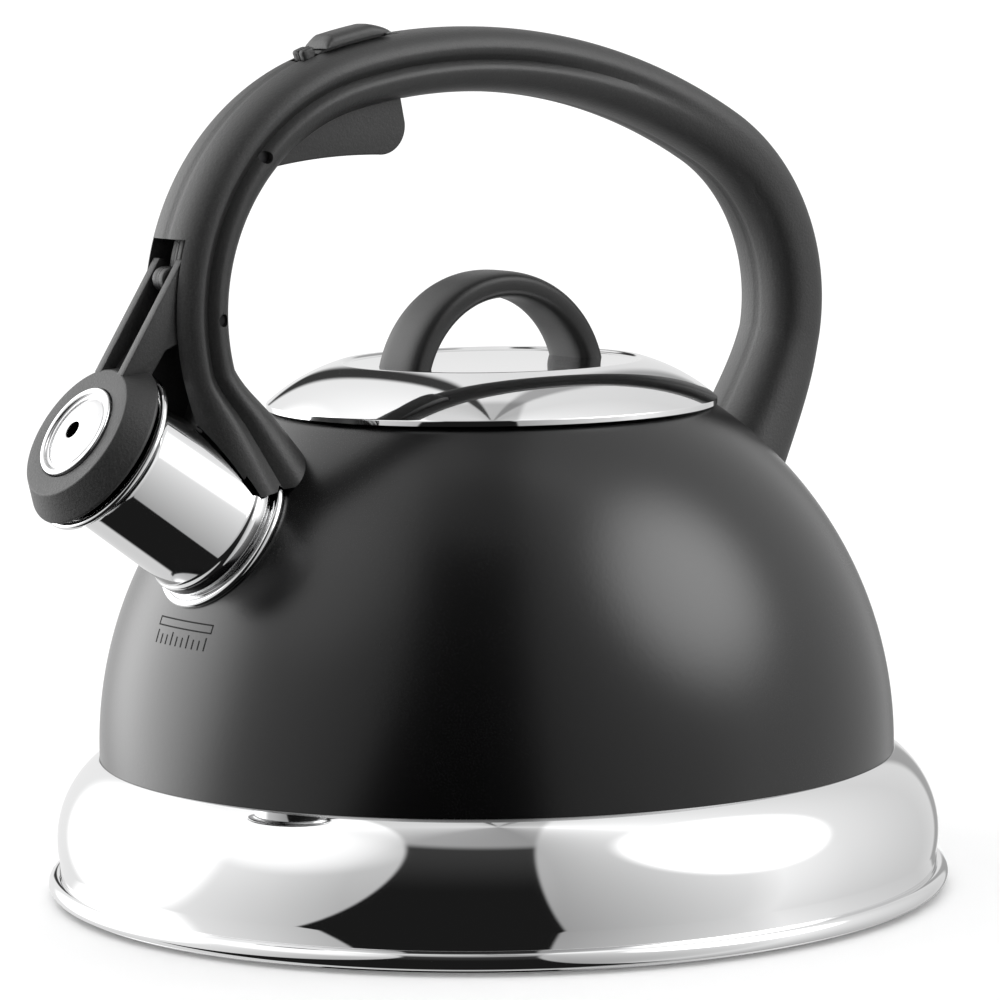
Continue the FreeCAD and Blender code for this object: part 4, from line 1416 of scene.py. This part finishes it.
@dataclass
class WhistleCap:
    """The cap on the spout's mouth: its ring, the channel that lifts it, the seal and the whistle."""

    body: str = "whistle_cap"
    front: float = 16.7
    rear: float = 20.8
    front_place: float = 37.6
    rear_place: float = 31.5
    bore: float = 12.6
    pocket: float = 11.6
    seat: float = 35.0
    half: float = 6.45
    cheek: float = 2.8

    def build(self) -> None:
        """Builds the cap's pieces."""
        self.lever()
        self.seal()
        self.discs()
        self.spring()
        refinish("link_pin", DARK_STEEL)

    def lever(self) -> None:
        """The ring, a cone frustum with a flat face, and two cheeks with a web between them."""
        profile = eased(spots((self.bore, self.rear_place), (self.rear, self.rear_place),
                              (self.rear, self.rear_place + 0.6), (self.front, self.front_place),
                              (self.pocket + 0.3, self.front_place), (self.pocket, self.front_place - 0.3),
                              (self.pocket, self.seat), (9.5, self.seat), (9.5, self.seat - 1.5),
                              (self.bore, self.seat - 1.5)), 0.35)
        cone = ring("cone", profile, SPOUT, 192)
        low_front = SPOUT.carry(np.array([15.0, 0.0, self.front_place - 2.7]))
        low_back = SPOUT.carry(np.array([17.2, 0.0, self.rear_place + 0.9]))
        cheek = spots(front(6.4, 35.5), front(-10.2, 9.8), low_front[[0, 2]], low_back[[0, 2]],
                      front(-3.0, 8.4), front(1.5, 14.8), front(4.5, 16.0), front(14.5, 18.1),
                      front(17.0, 21.6), front(14.9, 24.4), front(8.0, 34.9))
        inside = self.half - self.cheek
        web = spots(front(-7.0, 9.6), front(-3.0, 8.4), front(1.5, 14.8), front(4.5, 16.0),
                    front(10.0, 17.2), front(9.6, 19.5), front(3.0, 18.4), front(-1.2, 16.4))
        sides = ((inside, self.half), (-self.half, -inside))
        parts = [plate("cheek", cheek, low, high, 0.3) for low, high in sides]
        parts.append(plate("web", web, -inside - 0.2, inside + 0.2))
        parts += [across_bar("hub", LEVER_PIVOT, HUB_RADIUS, low, high) for low, high in sides]
        pin_hole = across_bar("pin_hole", LEVER_PIVOT, PIN_HOLE, -self.half - 1, self.half + 1)
        room = ring("room", spots((0, self.rear_place - 8), (self.bore, self.rear_place - 8),
                                  (self.bore, self.seat - 1.5), (self.pocket + 0.2, self.seat - 1.4),
                                  (self.pocket + 0.2, 48.0), (0, 48.0)), SPOUT, 96, True)
        arms = carve(parts[0], parts[1:], "UNION")
        carve(arms, [pin_hole, room])
        deliver(joined("cap_and_lever", [cone, arms]), self.body, NYLON, Slot.PLASTIC, "cap_lever")

    def seal(self) -> None:
        """The silicone ring behind the cap."""
        edge, high = 18.0, self.rear_place
        low = high - 1.3
        profile = eased(spots((self.bore, low), (edge, low), (edge, high), (self.bore, high)), 0.4)
        deliver(ring("cap_seal_ring", profile, SPOUT, 160), self.body, RUBBER, Slot.SEAL, "cap_seal")

    def discs(self) -> None:
        """The bright front disc, with a raised rim, a groove and a domed centre, and the plain rear one."""
        edge, hole, base = 11.55, 2.2, self.seat
        top = base + 3.4
        profile = line((edge, base), (edge, top - 0.5), ((edge - 0.14, top - 0.14), (edge - 0.5, top)),
                       (edge - 0.9, top), ((edge - 1.35, top - 0.18), (edge - 1.6, top - 0.7)),
                       ((edge - 2.1, top - 0.95), (edge - 2.65, top - 0.72)),
                       ((edge * 0.5, top + 0.25), (hole + 0.35, top + 0.6)), (hole, top + 0.42),
                       (hole, top - 0.2), ((edge * 0.49, top - 0.55), (edge - 2.75, top - 1.6)),
                       (edge - 0.8, top - 1.6), (edge - 0.8, base))
        deliver(ring("whistle_disc", profile, SPOUT, 160), self.body, BRIGHT_STEEL, Slot.WHISTLE,
                "whistle_front_disc")
        back = eased(spots((hole, base), (10.7, base), (10.7, base + 0.6), (hole, base + 0.6)), 0.12)
        deliver(ring("whistle_back", back, SPOUT, 128), self.body, BRIGHT_STEEL, Slot.WHISTLE,
                "whistle_rear_disc")

    def spring(self) -> None:
        """A close-wound torsion spring: a helix of 4.6 turns about the pivot, ending in a straight leg."""
        coil, wire, turns, pitch = 2.4, 0.4, 4.6, 0.86
        t = np.linspace(0.0, 2 * np.pi * turns, 240)
        helix = np.stack([LEVER_PIVOT[0] + coil * np.sin(t), (t / (2 * np.pi) - turns / 2) * pitch,
                          LEVER_PIVOT[1] + coil * np.cos(t)], 1)
        way = np.array([-1.0, 0.0, -0.22])
        leg = helix[0] + np.linspace(7.5, 0.3, 12)[:, None] * way
        deliver(rod("torsion_spring", np.concatenate([leg, helix]), wire, 14), self.body, STEEL,
                Slot.FASTENER, "lever_spring")


# ------------------------------------------------------------------ link, thumb slide and trigger

@dataclass
class Mechanism:
    """What moves in the handle: the pull link with its thumb slide, and the finger trigger."""

    link_radius: float = 58.7
    nose: tuple[float, float] = (-40.0, 194.54)

    def build(self) -> None:
        """Builds the link, the slide and the trigger."""
        self.link()
        self.slide()
        self.trigger()

    def link(self) -> None:
        """A curved strip of two ribs, with a long eye round the lever's cross pin."""
        cross = (-90.3, 152.64)
        inner, outer = self.link_radius - 1.1, self.link_radius + 1.1
        strip = np.concatenate([circle(FRONT_BEND, inner, 170.0, 108.3, 60),
                                circle(FRONT_BEND, outer + 5.6, 108.3, 111.4, 4),
                                circle(FRONT_BEND, outer, 111.4, 170.0, 60)])
        slack = 1.9
        x, z = cross
        reach = slack + 1.1
        eye = np.concatenate([circle((x + 5.35, z), reach, -90.0, 90.0, 16),
                              circle((x - 0.35, z), reach, 90.0, 270.0, 16)])
        hole = np.concatenate([circle((x + 5.35, z), slack, -90.0, 90.0, 16),
                               circle((x - 0.35, z), slack, 90.0, 270.0, 16)])
        sides = ((0.12, 2.5), (-2.5, -0.12))
        ribs = [carve(plate("rib", strip, low, high, 0.7, 3), [plate("eye", eye, low, high, 0.5, 3)],
                      "UNION") for low, high in sides]
        core = plate("core", strip, -0.4, 0.4)
        ribs.append(carve(core, [plate("eye", eye, -0.4, 0.4)], "UNION"))
        for rib in ribs:
            carve(rib, [plate("hole", hole, -4.0, 4.0)])
        deliver(joined("pull_link_strip", ribs), "thumb_link", NYLON, Slot.PLASTIC, "pull_link")

    def slide(self) -> None:
        """The hump under the thumb: its back is an arc about the handle's own, with soft edges."""
        slack, cavity_half = 0.75, 5.6
        skin = TOP_RADIUS + Handle.thick / 2 + slack
        left, right = FRONT_BEND[0] - 19.0, FRONT_BEND[0] - 0.4

        def above(x: float, lift: float) -> tuple[float, float]:
            """The place at x that is lift above the handle's back."""
            return x, TOP_BEND[1] + math.sqrt(skin ** 2 - (x - TOP_BEND[0]) ** 2) + lift

        x = np.linspace(left + 0.4, right, 40)
        share = (x - x[0]) / (x[-1] - x[0])
        lift = 2.75 * np.clip(share / 0.12, 0, 1) ** 0.5 * np.clip((1 - share) / 0.28, 0, 1) ** 0.55
        under = np.array([above(value, 0.0) for value in x])
        back = under + np.stack([0.0 * lift, lift + 0.02], 1)
        hump = self._pillow("hump", under, back, 5.0)
        middle = (left + right) / 2
        roof = TOP_BEND[1] + math.sqrt((TOP_RADIUS + cavity_half) ** 2 - (middle - TOP_BEND[0]) ** 2)
        neck = spots(*circle(FRONT_BEND, 60.4, 108.2, 108.2, 1), *circle(FRONT_BEND, 63.4, 108.2, 108.2, 1),
                     above(left + 3, 0.6), above(right - 1.4, 0.6), (right - 1.4, roof + 1.2),
                     (right - 4.0, roof - 0.3), (right - 10.0, roof - 1.4))
        start = (self.nose[0] + 0.659 * 1.95 + 1.5, self.nose[1] + 0.752 * 1.95 - 1.31)
        edge = start[0] + 0.6
        wedge = spots(start, (start[0] - 7.9, start[1] + 6.95), (edge, roof + 1.0), (edge, start[1]))
        parts = [hump, plate("neck", neck, -3.0, 3.0, 0.15), plate("wedge", wedge, -3.0, 3.0, 0.15)]
        deliver(joined("thumb_button", parts), "thumb_link", NYLON, Slot.PLASTIC, "thumb_slide")

    @staticmethod
    def _pillow(name: str, under: Array, back: Array, half: float) -> Thing:
        """A pillow between two curves of the plane Y = 0: height is scaled by (1 - |y/half|^4)^(1/2).

        Args:
            name: the piece's name.
            under: the lower curve (x, z).
            back: the upper curve (x, z).
            half: half width along Y.
        Returns:
            The object.
        """
        y = half * np.sin(np.linspace(-np.pi / 2, np.pi / 2, 25))
        share = np.sqrt(np.clip(1 - np.abs(y / half) ** 4, 0, 1)) * 0.86 + 0.14 * (np.abs(y) < half - 1e-6)
        top = under[:, None] + (back - under)[:, None] * share[None, :, None]
        low = under[:, None] + 0.0 * top
        grid = np.concatenate([top, low[:, ::-1]], 1)
        wide = np.concatenate([y, y[::-1]])[None, :] + np.zeros((len(under), 1))
        return tube(name, np.stack([grid[..., 0], wide, grid[..., 1]], 2))

    def trigger(self) -> None:
        """A channel of two side plates, a rounded floor and the bar that lifts the slide."""
        outer = line(front(30.0, 56.2), front(32.6, 55.6), (front(47.0, 57.3), front(62.3, 57.5)),
                     (front(68.0, 59.6), front(69.8, 65.0)), front(68.2, 73.4), front(58.0, 74.6),
                     front(47.0, 71.5), front(28.0, 61.6))
        inner = line(front(33.5, 58.2), (front(47.0, 59.4), front(62.2, 59.7)),
                     (front(66.8, 61.2), front(67.9, 65.3)), front(67.2, 80), front(33.5, 80))
        paddle = plate("trigger_paddle", eased(outer, 0.6, steps=4), -5.0, 5.0, 0.7, 4)
        carve(paddle, [across_bar("hub", TRIGGER_PIVOT, HUB_RADIUS, -5.0, 5.0)], "UNION")
        carve(paddle, [plate("room", inner, -3.4, 3.4)])
        carve(paddle, [across_bar("nose", self.nose, 1.6, -4.4, 4.4)], "UNION")
        carve(paddle, [across_bar("bore", TRIGGER_PIVOT, PIN_HOLE, -6.0, 6.0)])
        deliver(paddle, "finger_trigger", NYLON, Slot.PLASTIC, "trigger")


# ------------------------------------------------------------------ studio

@dataclass
class Studio:
    """A pale floor, a soft white room that reflections see in detail, a lamp and the camera.

    Bearings are in degrees round from the camera's side.  walls holds (bearing, brightness) pairs, and glows
    holds (bearing, height, radius, brightness) of soft bright patches.
    """

    eye: tuple[float, float, float] = (-0.6516, -0.9368, 0.22672)
    target: tuple[float, float, float] = (0.00135, -0.00094, 0.0942)
    roll: float = 0.0142
    lens: float = 169.8
    floor_half: float = 0.5
    plain: float = 1.12
    brightest: float = 1.6
    lamp_spot: tuple[float, float, float] = (-0.6, 0.5, 1.5)
    lamp_size: float = 1.2
    lamp_power: float = 4.0
    walls: tuple = ((-180.0, 1.0), (-158.0, 1.15), (-129.0, 1.39), (-96.0, 1.47), (-60.0, 1.06),
                    (-40.0, 0.77), (16.0, 0.61), (66.0, 1.2), (77.0, 1.47), (103.0, 1.2),
                    (142.0, 0.94), (180.0, 1.0))
    glows: tuple = ((75.0, 38.0, 30.0, 5.2), (-66.0, 44.0, 26.0, 0.5), (-116.0, 10.0, 40.0, 3.0))

    def build(self) -> None:
        """Builds the floor, the light and the camera."""
        self.floor()
        self.room()
        self.lamps()
        self.camera()
        bpy.context.scene.view_settings.view_transform = "Standard"

    def floor(self) -> None:
        """A pale floor just under the kettle, which reflections don't see."""
        half = self.floor_half / MM
        grid = np.stack(np.meshgrid(np.linspace(-half, half, 3), np.linspace(-half, half, 3), [-0.2]), -1)
        plane = thing("floor", grid, quads(3, 3, False, False))
        material = bpy.data.materials.new("pale_floor")
        material.use_nodes = True
        nodes = Nodes(material.node_tree)
        cloud = nodes.noise(nodes.place(), 3.0, 2.0)
        shader = nodes.add("ShaderNodeBsdfPrincipled", {}, {
            "Base Color": nodes.blend(cloud, (0.93, 0.93, 0.93), (0.95, 0.95, 0.95)), "Roughness": 0.8,
            "Specular IOR Level": 0.1})
        nodes.add("ShaderNodeOutputMaterial", {}, {"Surface": shader})
        plane.data.materials.append(material)
        plane.visible_glossy = False

    def room(self) -> None:
        """The world: pale walls that change with the bearing, and a dark gap and cards in reflections.

        With x, y, z a direction turned so that x runs towards the camera's side, the gap lies between two
        upright lines, y = left(z) and y = right(z).  The floor and the eye see plain white instead.
        """
        world = bpy.data.worlds.new("room")
        bpy.context.scene.world = world
        world.use_nodes = True
        world.cycles.sampling_method = "NONE"
        nodes = Nodes(world.node_tree)
        way = nodes.add("ShaderNodeTexCoord", {}, {}, "Generated")
        facing = math.atan2(self.eye[1], self.eye[0])
        turned_way = nodes.add("ShaderNodeVectorRotate", {"rotation_type": "Z_AXIS"},
                               {"Vector": way, "Angle": -facing})
        parts = nodes.add("ShaderNodeSeparateXYZ", {}, {"Vector": turned_way}).socket.node
        x, y, z = (Socket(nodes, parts.outputs[index]) for index in range(3))
        bearing = nodes.add("ShaderNodeMath", {"operation": "ARCTAN2"}, [y, x]) * (180.0 / math.pi)
        left, right = z * 0.32 - 0.58, 0.213 - z * 0.10
        soft = 0.012
        gap = ((y - left).step(-soft, soft) * (1.0 - (y - right).step(-soft, soft))
               * x.step(-0.35, -0.25) * (1.0 - z.step(0.86, 0.92) * 0.6))
        stops = [(0.5 + turn / 360.0, level / self.brightest) for turn, level in self.walls]
        walls = nodes.ramp(bearing / 360.0 + 0.5, stops) * self.brightest * (0.9 + z * 0.25)
        cards = (bearing.band(-172.0, -165.0, 1.5) * 0.95 * z.step(0.08, 0.14)
                 + bearing.band(158.0, 168.0, 2.0) * 0.5)
        dark = 0.015 + z.step(0.2, 1.0) * 0.05
        seen = walls * (1.0 - gap) * (1.0 - cards) + dark * gap
        for turn, height, radius, level in self.glows:
            turn, height = math.radians(turn), math.radians(height)
            flat = math.cos(height)
            middle = (math.cos(turn) * flat, math.sin(turn) * flat, math.sin(height))
            near = nodes.add("ShaderNodeVectorMath", {"operation": "DOT_PRODUCT"},
                             {0: turned_way, 1: middle}, "Value")
            seen = seen + near.step(math.cos(math.radians(radius)), 1.0) * (1.0 - gap) * level
        path = nodes.add("ShaderNodeLightPath", {}, {}, "Is Glossy Ray")
        strength = seen * path + (1.0 - path) * self.plain
        light = nodes.add("ShaderNodeBackground", {}, {"Color": (1.0, 1.0, 1.0, 1.0), "Strength": strength})
        nodes.add("ShaderNodeOutputWorld", {}, {"Surface": light})

    def lamps(self) -> None:
        """One large soft lamp above, which lights the floor and the matt surfaces."""
        lamp = bpy.data.lights.new("overhead", "AREA")
        lamp.shape, lamp.size, lamp.energy = "SQUARE", self.lamp_size, self.lamp_power
        holder = bpy.data.objects.new("overhead", lamp)
        holder.matrix_world = self._look(Vector(self.lamp_spot), Vector((0.0, 0.0, 0.08)))
        holder.visible_camera = holder.visible_glossy = False
        bpy.context.scene.collection.objects.link(holder)

    @staticmethod
    def _look(eye: Vector, target: Vector, roll: float = 0.0) -> Matrix:
        """The matrix of something at eye that faces target, with its right leaning by roll.

        Args:
            eye: where it is.
            target: what it faces.
            roll: lean of its right, as a slope.
        Returns:
            The matrix.
        """
        ahead = (target - eye).normalized()
        right = ahead.cross(Vector((0.0, 0.0, 1.0))).normalized()
        up = right.cross(ahead)
        right, up = (right - roll * up).normalized(), (up + roll * right).normalized()
        turn = Matrix((right, up, -ahead)).transposed().to_4x4()
        return Matrix.Translation(eye) @ turn

    def camera(self) -> None:
        """The camera, with depth of field off."""
        data = bpy.data.cameras.new("camera")
        data.sensor_width, data.lens = 36.0, self.lens
        data.clip_start, data.clip_end = 0.05, 200.0
        data.dof.use_dof = False
        holder = bpy.data.objects.new("camera", data)
        holder.matrix_world = self._look(Vector(self.eye), Vector(self.target), self.roll)
        bpy.context.scene.collection.objects.link(holder)
        bpy.context.scene.camera = holder


def main() -> None:
    """Builds the studio and the kettle's sub-assemblies in order."""
    logging.basicConfig(level=logging.INFO, format="%(name)s: %(message)s")
    for part in (Studio(), Vessel(), Spout(), Lid(), Handle(), WhistleCap(), Mechanism()):
        LOG.info("building %s", type(part).__name__)
        part.build()


if __name__ == "__main__":
    main()
